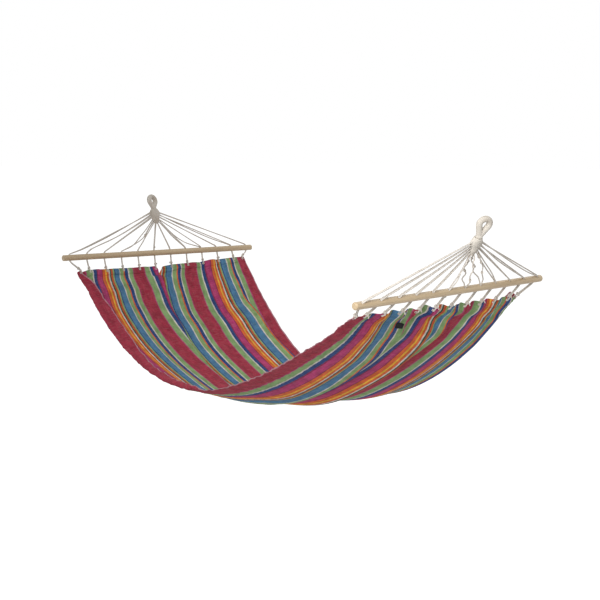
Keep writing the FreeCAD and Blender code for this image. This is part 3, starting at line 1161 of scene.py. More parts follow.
# ---- cords ------------------------------------------------------------------------------
# Legs with slack in them, first and second leg of a cord: points between the collar and the
# bar, each as a share of the way down, then how far it stands to the far side, outwards and
# below the straight line, in millimetres.
SLACK = {
    ("head", 1): (
        ((0.80, 0.0, 0.0, 8.0),),
        ((0.45, 0.0, 4.0, 15.0), (0.82, 0.0, 0.0, 11.0)),
    ),
    ("head", 2): (
        ((0.42, 0.0, 0.0, 12.0), (0.90, 0.0, 0.0, -7.0)),
        ((0.46, 0.0, 5.0, 17.0), (0.92, 0.0, 0.0, -7.0)),
    ),
    ("head", 4): (
        ((0.36, 27.0, 0.0, 0.0), (0.62, 52.0, 0.0, 0.0), (0.84, 44.0, 4.0, -4.0)),
        ((0.33, 24.0, 7.0, 3.0), (0.58, 36.0, 10.0, 0.0), (0.76, 30.0, 9.0, 14.0)),
    ),
    ("head", 5): (
        (),
        ((0.36, -6.0, 4.0, 2.0), (0.66, 9.0, 3.0, 0.0)),
    ),
    ("head", 8): (
        (),
        ((0.30, 5.0, 3.0, 4.0), (0.55, -4.0, 4.0, 2.0)),
    ),
    ("head", 9): (
        (),
        ((0.30, 0.0, 3.0, 27.0), (0.62, 0.0, 5.0, 30.0), (0.86, 0.0, 2.0, 12.0)),
    ),
    ("head", 11): (
        (),
        ((0.35, 0.0, 3.0, 7.0), (0.72, 0.0, 2.0, 9.0)),
    ),
    ("foot", 6): (
        ((0.48, 8.0, 2.0, 0.0),),
        ((0.40, -7.0, 3.0, 4.0), (0.74, 5.0, 4.0, 3.0)),
    ),
    ("foot", 7): (
        (
            (0.14, -5.0, -6.0, 0.0),
            (0.30, 9.0, -14.0, 0.0),
            (0.44, -16.0, -12.0, 0.0),
            (0.60, 5.0, -7.0, 0.0),
            (0.76, -14.0, -12.0, 0.0),
            (0.90, -6.0, -2.0, 0.0),
        ),
        (
            (0.12, 5.0, 10.0, 0.0),
            (0.30, -12.0, 16.0, 0.0),
            (0.46, 10.0, 12.0, 0.0),
            (0.66, -5.0, 10.0, 0.0),
            (0.84, 6.0, 10.0, 0.0),
        ),
    ),
    ("foot", 8): (
        (
            (0.14, 6.0, -10.0, 0.0),
            (0.28, -10.0, -13.0, 0.0),
            (0.44, 9.0, -12.0, 0.0),
            (0.60, -12.0, -15.0, 0.0),
            (0.78, 6.0, -8.0, 0.0),
        ),
        (
            (0.12, 12.0, 9.0, 0.0),
            (0.28, -2.0, 18.0, 0.0),
            (0.44, 16.0, 12.0, 0.0),
            (0.62, 0.0, 13.0, 0.0),
            (0.82, 10.0, 6.0, 0.0),
        ),
    ),
    ("foot", 9): (
        ((0.36, -9.0, 2.0, 2.0),),
        ((0.32, -6.0, 6.0, 0.0), (0.68, 5.0, 3.0, 0.0)),
    ),
    ("foot", 11): (
        (),
        ((0.26, 0.0, 3.0, 13.0), (0.62, 0.0, 2.0, 9.0)),
    ),
    ("foot", 12): (
        (),
        ((0.36, 0.0, 4.0, 10.0), (0.78, 0.0, 2.0, 11.0)),
    ),
}


# Loose knots in the slack cords: the leg, and the distance along it from the collar in
# millimetres.
LOOSE_KNOTS = {
    ("head", 6): ((1, 118),),
    ("head", 4): ((1, 96),),
    ("foot", 6): ((1, 168), (-1, 176)),
    ("foot", 7): ((1, 38), (1, 82), (-1, 56), (-1, 118)),
    ("foot", 8): ((1, 44), (1, 96), (-1, 62), (-1, 124)),
    ("foot", 9): ((1, 52),),
}


@dataclass
class FanCords:
    """Three-strand laid cords, each doubled through its hole in the bar and its eyelet."""

    cotton: bpy.types.Material
    lay_pitch: float = 11 * MM
    strands: int = 3
    sides: int = 12
    row_step: float = 2.2 * MM
    crown: float = 2.45 * MM
    groove: float = 0.12 * MM
    knot_cord: float = 1.6 * MM
    knot_turns: float = 1.7
    knot_pitch: float = 2.2         # rise of one turn, in thicknesses of the knot's cord
    knot_lean: float = 0.35
    knot_uneven: float = 0.15
    straight_by_bar: float = 24 * MM

    def build(self) -> None:
        """Build the fan of cords of both ends."""
        for end in (HEAD, FOOT):
            for number in range(1, HOLE_COUNT + 1):
                self.cord(end, number)

    def collar_exit(self, end: End, number: int, leg: int) -> Vector:
        """Point where a leg starts inside its collar.

        Args:
            end: End of the hammock.
            number: Number of the cord, counted from the near side.
            leg: 1 for the first leg, -1 for the second.

        Returns:
            The point.
        """
        middle = (HOLE_COUNT + 1) / 2
        side = -1 if number < middle else 1
        outwards = (abs(number - middle) - 0.5) / (middle - 1.5)
        across = side * mix(SIZES.last_exit[0], SIZES.first_exit[0], outwards)
        depth = mix(SIZES.last_exit[1], SIZES.first_exit[1], outwards)
        thick = leg * (SIZES.cord_d + SIZES.cord_gap) / 2 * -end.side
        return end.fan_matrix() @ Vector((thick, across, -depth - leg * SIZES.leg_spread / 2))

    def leg_route(self, end: End, number: int, leg: int) -> list[Vector]:
        """Points of one leg, from the collar through the bar to the eyelet.

        Args:
            end: End of the hammock.
            number: Number of the cord, counted from the near side.
            leg: 1 for the first leg, -1 for the second.

        Returns:
            The route's points.
        """
        beside = leg * (SIZES.cord_d + SIZES.cord_gap) / 2
        off_cloth = leg * (SIZES.cloth_solid / 2 + SIZES.cord_stand_off + SIZES.cord_d / 2)
        mouth = SIZES.bar_d / 2 + SIZES.mouth_reach
        start = self.collar_exit(end, number, leg)
        above = end.bar_point(beside, hole_offset(number), mouth)
        below = end.bar_point(beside, hole_offset(number), -mouth)
        route = [start]
        first, second = SLACK.get((end.name, number), ((), ()))
        for share, farther, outwards, lower in first if leg > 0 else second:
            aside = Vector((end.side * outwards, farther, -lower)) * MM
            route.append(mix(start, above, share) + aside)
        by_bar = (route[-1] - above).normalized() * self.straight_by_bar
        route += [above + by_bar, above, below]
        place = eyelet_place(number)
        hem = 0.0 if end.side < 0 else 1.0
        normal = SHAPE.normal(hem)
        eyelet = SHAPE.point(SHAPE.share_at(SIZES.eyelet_inset, end), place, off_cloth)
        knot = knot_middle(end, number) + normal * beside
        return route + [knot, SHAPE.point(hem, place) + normal * off_cloth, eyelet]

    def smooth_line(self, route: list[Vector]) -> list[Vector]:
        """Points of the smooth curve that has the route's points as its control points.

        Args:
            route: Control points of the curve.

        Returns:
            Points close together along the curve.
        """
        curve = bpy.data.curves.new("route", "CURVE")
        curve.dimensions = "3D"
        spline = curve.splines.new("NURBS")
        spline.points.add(len(route) - 1)
        for control, point in zip(spline.points, route):
            control.co = (*point, 1.0)
        spline.order_u = 3
        spline.use_endpoint_u = True
        spline.resolution_u = 40
        holder = bpy.data.objects.new("route", curve)
        mesh = bpy.data.meshes.new_from_object(holder)
        line = [vert.co.copy() for vert in mesh.vertices]
        bpy.data.objects.remove(holder)
        bpy.data.curves.remove(curve)
        bpy.data.meshes.remove(mesh)
        return line

    def radius(self, angle: float, along: float) -> float:
        """Radius of the laid cord: round strands with grooves between them."""
        turn = angle * self.strands / 2 - math.pi * along / self.lay_pitch * self.strands / 2
        return self.crown - self.groove * (1 - abs(math.cos(turn)) ** 0.8)

    def cord(self, end: End, number: int) -> None:
        """Args:
            end: End of the hammock.
            number: Number of the cord, counted from the near side.
        """
        first = self.leg_route(end, number, 1)
        second = self.leg_route(end, number, -1)
        line = self.smooth_line(first + second[::-1])
        points = even_points(line, self.row_step)
        name = f"{end.name}_cord_{number:02d}"
        piece = rope_tube(f"{name}_laid", points, self.sides, self.radius)
        dress(piece, self.cotton, Slot.CORD, end.body)
        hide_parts(name)
        length = sum((b - a).length for a, b in zip(points, points[1:]))
        hitches = LOOSE_KNOTS.get((end.name, number), ())
        knots = [self.loose_knot(points, leg, along * MM) for leg, along in hitches]
        if knots:
            knots = [joined(f"{name}_loose_knots", knots)]
            dress(knots[0], self.cotton, Slot.CORD, end.body)
        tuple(points[0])
        log.info("%s: %.0f mm of laid cord", piece.name, length / MM)

    def loose_knot(self, points: list[Vector], leg: int, along: float) -> bpy.types.Object:
        """Build a half hitch round a cord.

        Args:
            points: Evenly spaced points of the cord.
            leg: 1 to count from the cord's start, -1 from its other end.
            along: Distance from there, in metres.

        Returns:
            The knot's turns as one tube.
        """
        index = round(along / self.row_step)
        index = index if leg > 0 else len(points) - 1 - index
        middle, axis = points[index], (points[index + 1] - points[index - 1]).normalized()
        first = axis.orthogonal().normalized()
        second = axis.cross(first)
        reach = self.crown + 0.7 * self.knot_cord
        steps = 36
        line = []
        for step in range(steps + 1):
            share = step / steps
            turn = 2 * math.pi * self.knot_turns * share
            lean = self.knot_lean * math.sin(turn) * reach
            uneven = 1 + self.knot_uneven * jitter(along * 90, share * 3, leg)
            side = (first * math.cos(turn) + second * math.sin(turn)) * reach * uneven
            climb = (share - 0.5) * self.knot_pitch * self.knot_cord * self.knot_turns
            line.append(middle + side + axis * (climb + lean))
        return rope_tube("hitch", even_points(line, 1.2 * MM), 8, lambda angle, run: self.knot_cord)


def knot_middle(end: End, number: int) -> Vector:
    """Middle of a cord's knot, on the line from the hem's edge to the bar.

    Args:
        end: End of the hammock.
        number: Number of the cord, counted from the near side.

    Returns:
        The knot's middle.
    """
    hem = 0.0 if end.side < 0 else 1.0
    edge = SHAPE.point(hem, eyelet_place(number))
    mouth = end.bar_point(0, hole_offset(number), -SIZES.bar_d / 2 - SIZES.mouth_reach)
    direction = (mouth - edge).normalized()
    along_hem = (SHAPE.edge_point(hem, 1) - SHAPE.edge_point(hem, -1)).normalized()
    away = (direction - along_hem * direction.dot(along_hem)).length
    return edge + direction * (SIZES.knot_from_hem / away)


@dataclass
class HemKnots:
    """Knots above each hem: turns of cord round both legs of a cord, with a short tail."""

    cotton: bpy.types.Material
    turns: float = 2.4
    turn_pitch: float = 3.1 * MM
    slack: float = 0.3 * MM
    tail: float = 9 * MM

    def build(self) -> None:
        """Build the knots of both hems."""
        for end in (HEAD, FOOT):
            knots = [self.knot(end, number) for number in range(1, HOLE_COUNT + 1)]
            group = joined(f"{end.name}_knots_tied", knots)
            dress(group, self.cotton, Slot.CORD, end.body)
            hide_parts(f"{end.name}_knots")
            log.info("%s: %d knots", group.name, len(knots))

    def knot(self, end: End, number: int) -> bpy.types.Object:
        """Build one knot.

        Args:
            end: End of the hammock.
            number: Number of its cord.

        Returns:
            The knot's turns and tail as one tube.
        """
        hem = 0.0 if end.side < 0 else 1.0
        middle = knot_middle(end, number)
        mouth = end.bar_point(0, hole_offset(number), -SIZES.bar_d / 2 - SIZES.mouth_reach)
        axis = (mouth - middle).normalized()
        pair = SHAPE.normal(hem)
        pair = (pair - axis * pair.dot(axis)).normalized()
        across = axis.cross(pair)
        half_cord = SIZES.knot_cord_d / 2
        narrow = SIZES.cord_d / 2 + self.slack + half_cord
        wide = SIZES.cord_d + SIZES.cord_gap / 2 + self.slack + half_cord
        start = jitter(number, end.side) * math.pi
        steps = 48
        line = []
        for index in range(steps + 1):
            share = index / steps
            angle = start + share * self.turns * 2 * math.pi
            height = (share - 0.5) * self.turns * self.turn_pitch
            swell = 1 + 0.12 * jitter(number, index / 6, end.side)
            reach = pair * wide * math.cos(angle) + across * narrow * math.sin(angle)
            line.append(middle + reach * swell + axis * height)
        out = (line[-1] - middle - axis * (line[-1] - middle).dot(axis)).normalized()
        droop = Vector((0, 0, -1))
        for share in (0.35, 0.7, 1.0):
            line.append(line[steps] + (out * share + droop * share * share) * self.tail * 0.7)
        points = even_points(line, 1.3 * MM)
        return rope_tube(
            "knot", points, 8, lambda angle, along: half_cord * (1 + 0.08 * math.cos(3 * angle - along / MM))
        )


# ---- cloth ------------------------------------------------------------------------------
def smooth(share: float) -> float:
    """Ease from 0 to 1, held outside that range."""
    share = max(0.0, min(1.0, share))
    return share * share * (3 - 2 * share)


def between(stations: tuple[tuple[float, ...], ...], share: float) -> tuple[float, ...]:
    """Values eased between stations, each of which starts with its share of the way.

    Args:
        stations: Rows of a share and its values, in order.
        share: Share of the way.

    Returns:
        The values at that share.
    """
    if share <= stations[0][0]:
        return stations[0][1:]
    for low, high in zip(stations, stations[1:]):
        if share <= high[0]:
            ease = smooth((share - low[0]) / (high[0] - low[0]))
            return tuple(mix(a, b, ease) for a, b in zip(low[1:], high[1:]))
    return stations[-1][1:]


class Face(Enum):
    """Face of the cloth that a pleat stands on, as the way its crest is lifted."""

    INNER = 1
    OUTER = -1


@dataclass(frozen=True)
class Pleat:
    """A lengthwise pleat: past its crest the cloth runs back under itself and on again.

    Each station gives the share of the way from head to foot, the crest's place across the
    flat cloth and the length of the layer that runs back, both in millimetres.
    """

    face: Face
    stations: tuple[tuple[float, float, float], ...]
    turned: float = 2.8
    bend: float = 10 * MM
    lead: float = 60 * MM
    full_back: float = 20 * MM      # a shorter back layer stands up less

    def at(self, share: float) -> tuple[float, float]:
        """Crest and back layer in metres at a share of the way."""
        crest, back = between(self.stations, share)
        return crest * MM, back * MM

    def angle(self, across: float, crest: float, back: float) -> float:
        """Angle that the pleat adds to the section at a place across the flat cloth.

        Args:
            across: Place across the flat cloth, in metres from the near edge.
            crest: Place of the crest, in metres.
            back: Length of the layer that runs back, in metres.

        Returns:
            The angle in radians.
        """
        run = back + 2 * self.bend
        place = across - crest
        if back <= 0 or not 0 < place < run:
            return 0.0
        swell = smooth(min(place, run - place) / self.bend)
        return -self.face.value * self.turned * smooth(back / self.full_back) * swell


@dataclass
class Bed:
    """The cloth: one striped sheet with folded hems, pleated and gathered at its eyelets."""

    finish: StripedCotton
    material: bpy.types.Material
    columns: int = 240
    rows: int = 198
    thickness: float = 1.1 * MM
    hem_thickness: float = 3.0 * MM
    pleats: tuple[Pleat, ...] = (
        Pleat(
            Face.INNER,
            (
                (0.0, 455, 12),
                (0.05, 452, 18),
                (0.12, 435, 30),
                (0.2, 408, 40),
                (0.3, 388, 42),
                (0.42, 384, 26),
                (0.6, 390, 0),
            ),
        ),
        Pleat(Face.INNER, ((0.03, 905, 0), (0.15, 905, 12), (0.3, 912, 15), (0.5, 905, 0))),
        Pleat(
            Face.OUTER,
            (
                (0.34, 280, 0),
                (0.5, 268, 36),
                (0.6, 262, 54),
                (0.72, 266, 53),
                (0.84, 284, 40),
                (0.94, 316, 17),
                (1.0, 330, 8),
            ),
        ),
        Pleat(Face.OUTER, ((0.36, 512, 0), (0.62, 512, 13), (0.8, 516, 14), (1.0, 524, 6))),
        Pleat(Face.OUTER, ((0.34, 568, 0), (0.62, 568, 31), (0.82, 574, 29), (1.0, 596, 8))),
    )
    near_fold: tuple[tuple[float, float], ...] = (
        (0.0, 34), (0.04, 60), (0.09, 76), (0.14, 77), (0.32, 50), (0.42, 44), (0.56, -8)
    )
    far_fold: tuple[tuple[float, float], ...] = (
        (0.0, 1004), (0.1, 988), (0.34, 990), (0.6, 918), (0.94, 922), (1.0, 962)
    )
    edge_turned: float = 2.75
    edge_bend: float = 24 * MM
    eyelet_hold: float = 90 * MM
    gather: tuple[tuple[float, float], ...] = ((0.42, 0.12), (0.66, 0.1))
    scallop: tuple[float, float] = (3.0 * MM, 7.0 * MM)
    notch_bay: float = 5.3
    notch_width: float = 0.32
    notch_depth: float = 34 * MM
    scallop_fade: float = 0.04      # distances from the hem over which its shapes die away
    notch_fade: float = 0.03
    hem_calm: float = 0.05
    hem_crowding: float = 0.035     # how far the rows are drawn towards the hems
    rolls: tuple[tuple[float, float], ...] = ((190, 20), (505, 9), (770, 11))   # place and depth, mm
    roll_width: float = 72 * MM
    rolls_swell: tuple[float, float] = (0.52, 0.16)     # share where they start, and run to full depth
    rolls_fade: tuple[float, float] = (0.98, 0.14)      # share where they have gone, and run down to it
    ripple: float = 4.5 * MM
    crease: float = 5.0 * MM
    near_border: tuple[float, float] = (0.08, 0.14)     # reach of the long and the short near waves
    short_waves: float = 0.8
    far_border: float = 0.05
    far_waves: float = 0.6
    held_rows: int = 14             # rows over which the hold of a hem dies away
    settle_frames: int = 12
    least_hold: float = 0.12
    move_cap: float = 8 * MM
    weight: float = 0.06            # share of its weight that the settling feels
    ease_in: float = 0.014          # share by which the cloth is larger than its shape

    def shares(self) -> list[float]:
        """Shares of the way of the rows, closer together near the hems."""
        return [
            i / self.rows - self.hem_crowding * math.sin(2 * math.pi * i / self.rows)
            for i in range(self.rows + 1)
        ]

    def bay(self, across: float) -> float:
        """Place across the flat cloth, counted in eyelets."""
        pitch = hole_offset(2) - hole_offset(1)
        chord = (across / self.finish.width() - 0.5) * 2 * SIZES.half_width
        return (chord - hole_offset(1)) / pitch

    def slope(self, across: float, share: float, from_hem: tuple[float, float]) -> float:
        """Angle of the cloth's section to the line from edge to edge.

        Args:
            across: Place across the flat cloth, in metres from the near edge.
            share: Share of the way from head to foot.
            from_hem: Distances along the cloth from the head and foot hems.

        Returns:
            The angle in radians.
        """
        angle = sum(pleat.angle(across, *pleat.at(share)) for pleat in self.pleats)
        near, far = self.folds(share)
        angle += self.edge_turned * smooth((across - far) / self.edge_bend)
        angle -= self.edge_turned * smooth((near - across) / self.edge_bend)
        bay = self.bay(across)
        for end, distance, (depth, reach) in zip((HEAD, FOOT), from_hem, self.gather):
            fade = math.exp(-((distance / reach) ** 1.5))
            if fade < 0.01:
                continue
            size = 0.8 + 0.6 * jitter(math.floor(bay) * 0.71, end.side, 0.5)
            angle += fade * depth * size * math.sin(2 * math.pi * bay)
            finer = math.exp(-((distance / (0.5 * reach)) ** 1.5))
            angle += 0.75 * finer * depth * jitter(bay * 0.42, end.side, 3.0 + distance * 3)
            angle += 0.45 * fade * depth * jitter(bay * 0.19, end.side, 5.0 + distance * 2)
        return angle

    def folds(self, share: float) -> tuple[float, float]:
        """Places across the flat cloth where its near and far edges are folded over."""
        return between(self.near_fold, share)[0] * MM, between(self.far_fold, share)[0] * MM

    def held_at_eyelets(
        self, ways: list[float], lifts: list[float], from_hem: tuple[float, float]
    ) -> list[float]:
        """Bring the cloth back to its cords' ends near both hems.

        Args:
            ways: Places of the row's points between the edges, from 0 to 1.
            lifts: Their heights over the hanging surface.
            from_hem: Distances along the cloth from the head and foot hems.

        Returns:
            The corrected heights.
        """
        hold = sum(math.exp(-((distance / self.eyelet_hold) ** 2)) for distance in from_hem)
        if hold < 0.01:
            return lifts
        stations = []
        for number in range(1, HOLE_COUNT + 1):
            place = (eyelet_place(number) + 1) / 2
            column = next(index for index, way in enumerate(ways) if way >= place)
            stations.append((place, lifts[column]))
        return [lift - hold * between(tuple(stations), way)[0] for way, lift in zip(ways, lifts)]

    def section(self, share: float, from_hem: tuple[float, float]) -> list[Vector]:
        """Points of one row across the cloth.

        Args:
            share: Share of the way from head to foot.
            from_hem: Distances along the cloth from the head and foot hems.

        Returns:
            The row's points, from the near edge to the far one.
        """
        width = self.finish.width()
        step = width / self.columns
        across, height = [0.0], [0.0]
        for column in range(self.columns):
            angle = self.slope((column + 0.5) * step, share, from_hem)
            across.append(across[-1] + step * math.cos(angle))
            height.append(height[-1] + step * math.sin(angle))
        for pleat in self.pleats:
            crest, back = pleat.at(share)
            drop = sum(
                step * math.sin(pleat.angle((c + 0.5) * step, crest, back)) for c in range(self.columns)
            )
            for column in range(self.columns + 1):
                before = smooth((column * step - crest + pleat.lead) / pleat.lead)
                after = smooth((column * step - crest - back - 2 * pleat.bend) / pleat.lead)
                height[column] -= drop * (before + after) / 2
        low = min(across)
        reach = max(across) - low
        near_turn, far_turn = (max(0.0, min(1.0, fold / width)) * self.columns for fold in self.folds(share))
        ends = []
        for turn in (near_turn, far_turn):
            whole = min(self.columns - 1, int(turn))
            ends.append(mix(height[whole], height[whole + 1], turn - whole))
        near, far = SHAPE.edge_point(share, -1), SHAPE.edge_point(share, 1)
        normal = SHAPE.normal(share)
        along = (SHAPE.middle_line(share + 0.001) - SHAPE.middle_line(share - 0.001)).normalized()
        cup = SHAPE.cup_depth(share)
        ways = [(place - low) / reach for place in across]
        lifts = []
        for column in range(self.columns + 1):
            passed = max(0.0, min(1.0, (column - near_turn) / (far_turn - near_turn)))
            lift = height[column] - mix(ends[0], ends[1], passed)
            lifts.append(lift + self.undulation(column * step, share, from_hem))
        lifts = self.held_at_eyelets(ways, lifts, from_hem)
        points = []
        for column, (way, lift) in enumerate(zip(ways, lifts)):
            point = near.lerp(far, way) + normal * (lift - cup * (1 - (2 * way - 1) ** 2))
            points.append(point + along * self.edge_shift(column * step, from_hem))
        return points

    def undulation(self, across: float, share: float, from_hem: tuple[float, float]) -> float:
        """Small waves down the cloth and along its borders, less the rolls of the foot half.

        Args:
            across: Place across the flat cloth, in metres from the near edge.
            share: Share of the way from head to foot.
            from_hem: Distances along the cloth from the head and foot hems.

        Returns:
            The lift off the hanging surface, in metres.
        """
        held = 1 - math.exp(-((min(from_hem) / self.hem_calm) ** 2))
        broad = jitter(across * 1.9, share * 0.5, 2.0) + 0.5 * jitter(across * 4.4, share * 0.9, 9.0)
        long_reach, short_reach = self.near_border
        near = math.exp(-((across / long_reach) ** 2)) * jitter(share * 9.0 + across * 3.0, 4.0, 1.0)
        fade = math.exp(-((across / short_reach) ** 2))
        near += self.short_waves * fade * jitter(share * 33.0 + across * 9.0, 7.0, 3.0)
        from_far = self.finish.width() - across
        far = math.exp(-((from_far / self.far_border) ** 2)) * jitter(share * 7.0, 6.0, 2.0)
        rolls = sum(
            depth * MM * math.exp(-(((across - place * MM) / self.roll_width) ** 2))
            for place, depth in self.rolls
        )
        start, swell = self.rolls_swell
        stop, run = self.rolls_fade
        along_foot = smooth((share - start) / swell) * smooth((stop - share) / run)
        waves = self.ripple * broad + self.crease * (near + self.far_waves * far)
        return held * waves - along_foot * rolls

    def edge_shift(self, across: float, from_hem: tuple[float, float]) -> float:
        """How far the hem hangs back from the bar between its eyelets, and in its notch.

        Args:
            across: Place across the flat cloth, in metres from the near edge.
            from_hem: Distances along the cloth from the head and foot hems.

        Returns:
            The shift along the cloth towards the foot, in metres.
        """
        bay = self.bay(across)
        between_eyelets = math.sin(math.pi * bay) ** 2
        shift = 0.0
        for end, distance, depth in zip((HEAD, FOOT), from_hem, self.scallop):
            shift -= end.side * depth * between_eyelets * math.exp(-distance / self.scallop_fade)
        notch = max(0.0, 1 - abs(bay - self.notch_bay) / self.notch_width)
        return shift + self.notch_depth * notch * math.exp(-from_hem[0] / self.notch_fade)

    def relax(self, sheet: bpy.types.Object) -> None:
        """Let the cloth wrinkle a little, with both hems held and every move capped.

        Args:
            sheet: The sheet before it gets its thickness.
        """
        before = [vert.co.copy() for vert in sheet.data.vertices]
        width = self.columns + 1
        held = sheet.vertex_groups.new(name="held")
        for vert in sheet.data.vertices:
            row = vert.index // width
            away = min(row, self.rows - row) / self.held_rows
            held.add([vert.index], max(self.least_hold, 1 - away), "REPLACE")
        cloth = sheet.modifiers.new("settle", "CLOTH")
        cloth.settings.vertex_group_mass = "held"
        cloth.settings.quality = 4
        cloth.settings.mass = 0.35
        cloth.settings.tension_stiffness = 15
        cloth.settings.compression_stiffness = 15
        cloth.settings.shear_stiffness = 5
        cloth.settings.bending_stiffness = 0.1
        cloth.settings.pin_stiffness = 1.0
        cloth.settings.shrink_min = -self.ease_in
        cloth.settings.effector_weights.gravity = self.weight
        cloth.point_cache.frame_end = self.settle_frames
        for number in range(1, self.settle_frames + 1):
            bpy.context.scene.frame_set(number)
        settled = sheet.evaluated_get(bpy.context.evaluated_depsgraph_get()).data
        after = [vert.co.copy() for vert in settled.vertices]
        sheet.modifiers.remove(cloth)
        sheet.vertex_groups.remove(held)
        bpy.context.scene.frame_set(1)
        moves = [new - old for old, new in zip(before, after)]
        for vert, old, move in zip(sheet.data.vertices, before, moves):
            vert.co = old + move * min(1.0, self.move_cap / max(move.length, 1e-9))
        largest = max(move.length for move in moves)
        typical = sum(move.length for move in moves) / len(moves)
        asked = (typical / MM, largest / MM, self.move_cap / MM)
        log.info("%s asked to move by %.1f mm, at most %.1f mm, and was held to %.0f mm", sheet.name, *asked)

    def build(self) -> bpy.types.Object:
        """Build the sheet and its hem bands.

        Returns:
            The sheet.
        """
        shares = self.shares()
        middles = [SHAPE.middle_line(share) for share in shares]
        travelled = [0.0]
        for a, b in zip(middles, middles[1:]):
            travelled.append(travelled[-1] + (b - a).length)
        length = travelled[-1]
        table = [self.section(s, (t, length - t)) for s, t in zip(shares, travelled)]
        width = self.finish.width()

        def place(column: int, row: int) -> Vector:
            """Point of the sheet."""
            return table[row][column]

        def flat(column: int, row: int) -> tuple[float, float]:
            """Place on the flat cloth."""
            return (width * column / self.columns, travelled[row])

        sheet = wrapped_grid("bed_fabric", self.columns, self.rows, place, False, flat)
        self.relax(sheet)
        for vert in sheet.data.vertices:
            row, column = divmod(vert.index, self.columns + 1)
            table[row][column] = vert.co.copy()
        hems = [self.hem_band(end, table, travelled) for end in (HEAD, FOOT)]
        self.thicken(sheet, self.thickness)
        dress(sheet, self.material, Slot.CLOTH, None)
        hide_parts("bed_cloth")
        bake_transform(sheet)
        log.info("%s: %.0f by %.0f mm of cloth", sheet.name, width / MM, length / MM)
        return sheet

    def hem_band(self, end: End, table: list[list[Vector]], travelled: list[float]) -> bpy.types.Object:
        """Build the doubled cloth of one hem over the sheet's own rows.

        Args:
            end: End of the hammock.
            table: Points of the sheet by row and column.
            travelled: Distance along the cloth at each row.

        Returns:
            The band.
        """
        length = travelled[-1]
        rows = [i for i, t in enumerate(travelled) if (t if end.side < 0 else length - t) <= SIZES.hem_width]
        first, count = rows[0], len(rows) - 1
        width = self.finish.width()

        def place(column: int, row: int) -> Vector:
            """Point of the band."""
            return table[first + row][column]

        def flat(column: int, row: int) -> tuple[float, float]:
            """Place on the flat cloth."""
            return (width * column / self.columns, travelled[first + row])

        band = wrapped_grid(f"{end.name}_hem_band", self.columns, count, place, False, flat)
        self.thicken(band, self.hem_thickness)
        dress(band, self.material, Slot.CLOTH, end.body)
        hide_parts(f"{end.name}_hem")
        return band

    def thicken(self, piece: bpy.types.Object, thickness: float) -> None:
        """Give a sheet its thickness, half to each side."""
        solidify = piece.modifiers.new("thickness", "SOLIDIFY")
        solidify.thickness = thickness
        solidify.offset = 0.0


@dataclass
class Eyelets:
    """Stitched eyelets: a corded ring of buttonhole stitches on both faces of each hem."""

    cotton: bpy.types.Material
    ring: float = 4.6 * MM
    cord: float = 1.3 * MM
    stitches: int = 22
    clear: float = 1.9 * MM

    def build(self, sheet: bpy.types.Object) -> None:
        """Sew the rings of both hems onto the cloth.

        Args:
            sheet: The cloth.
        """
        tree = KDTree(len(sheet.data.vertices))
        for vert in sheet.data.vertices:
            tree.insert(vert.co, vert.index)
        tree.balance()
        for end in (HEAD, FOOT):
            share = SHAPE.share_at(SIZES.eyelet_inset, end)
            rings = []
            for number in range(1, HOLE_COUNT + 1):
                _, index, _ = tree.find(SHAPE.point(share, eyelet_place(number)))
                vert = sheet.data.vertices[index]
                rings += [self.stitched_ring(vert.co, vert.normal, face) for face in Face]
            group = joined(f"{end.name}_eyelets_stitched", rings)
            dress(group, self.cotton, Slot.CORD, end.body)
            log.info("%s: %d rings", group.name, len(rings))

    def stitched_ring(self, middle: Vector, normal: Vector, face: Face) -> bpy.types.Object:
        """Build one ring on one face of the cloth.

        Args:
            middle: Middle of the eyelet.
            normal: Unit vector out of the cloth.
            face: Face of the cloth that the ring is on.

        Returns:
            The ring.
        """
        first = normal.orthogonal().normalized()
        second = normal.cross(first)
        line = []
        for index in range(4 * self.stitches + 1):
            turn = 2 * math.pi * index / (4 * self.stitches)
            reach = first * math.cos(turn) + second * math.sin(turn)
            line.append(middle + reach * self.ring + normal * face.value * self.clear)
        pitch = 2 * math.pi * self.ring / self.stitches

        def radius(angle: float, along: float) -> float:
            """Radius of the stitching, which swells at each stitch."""
            return self.cord * (0.82 + 0.18 * abs(math.sin(math.pi * along / pitch)))

        return rope_tube("ring", line, 6, radius)


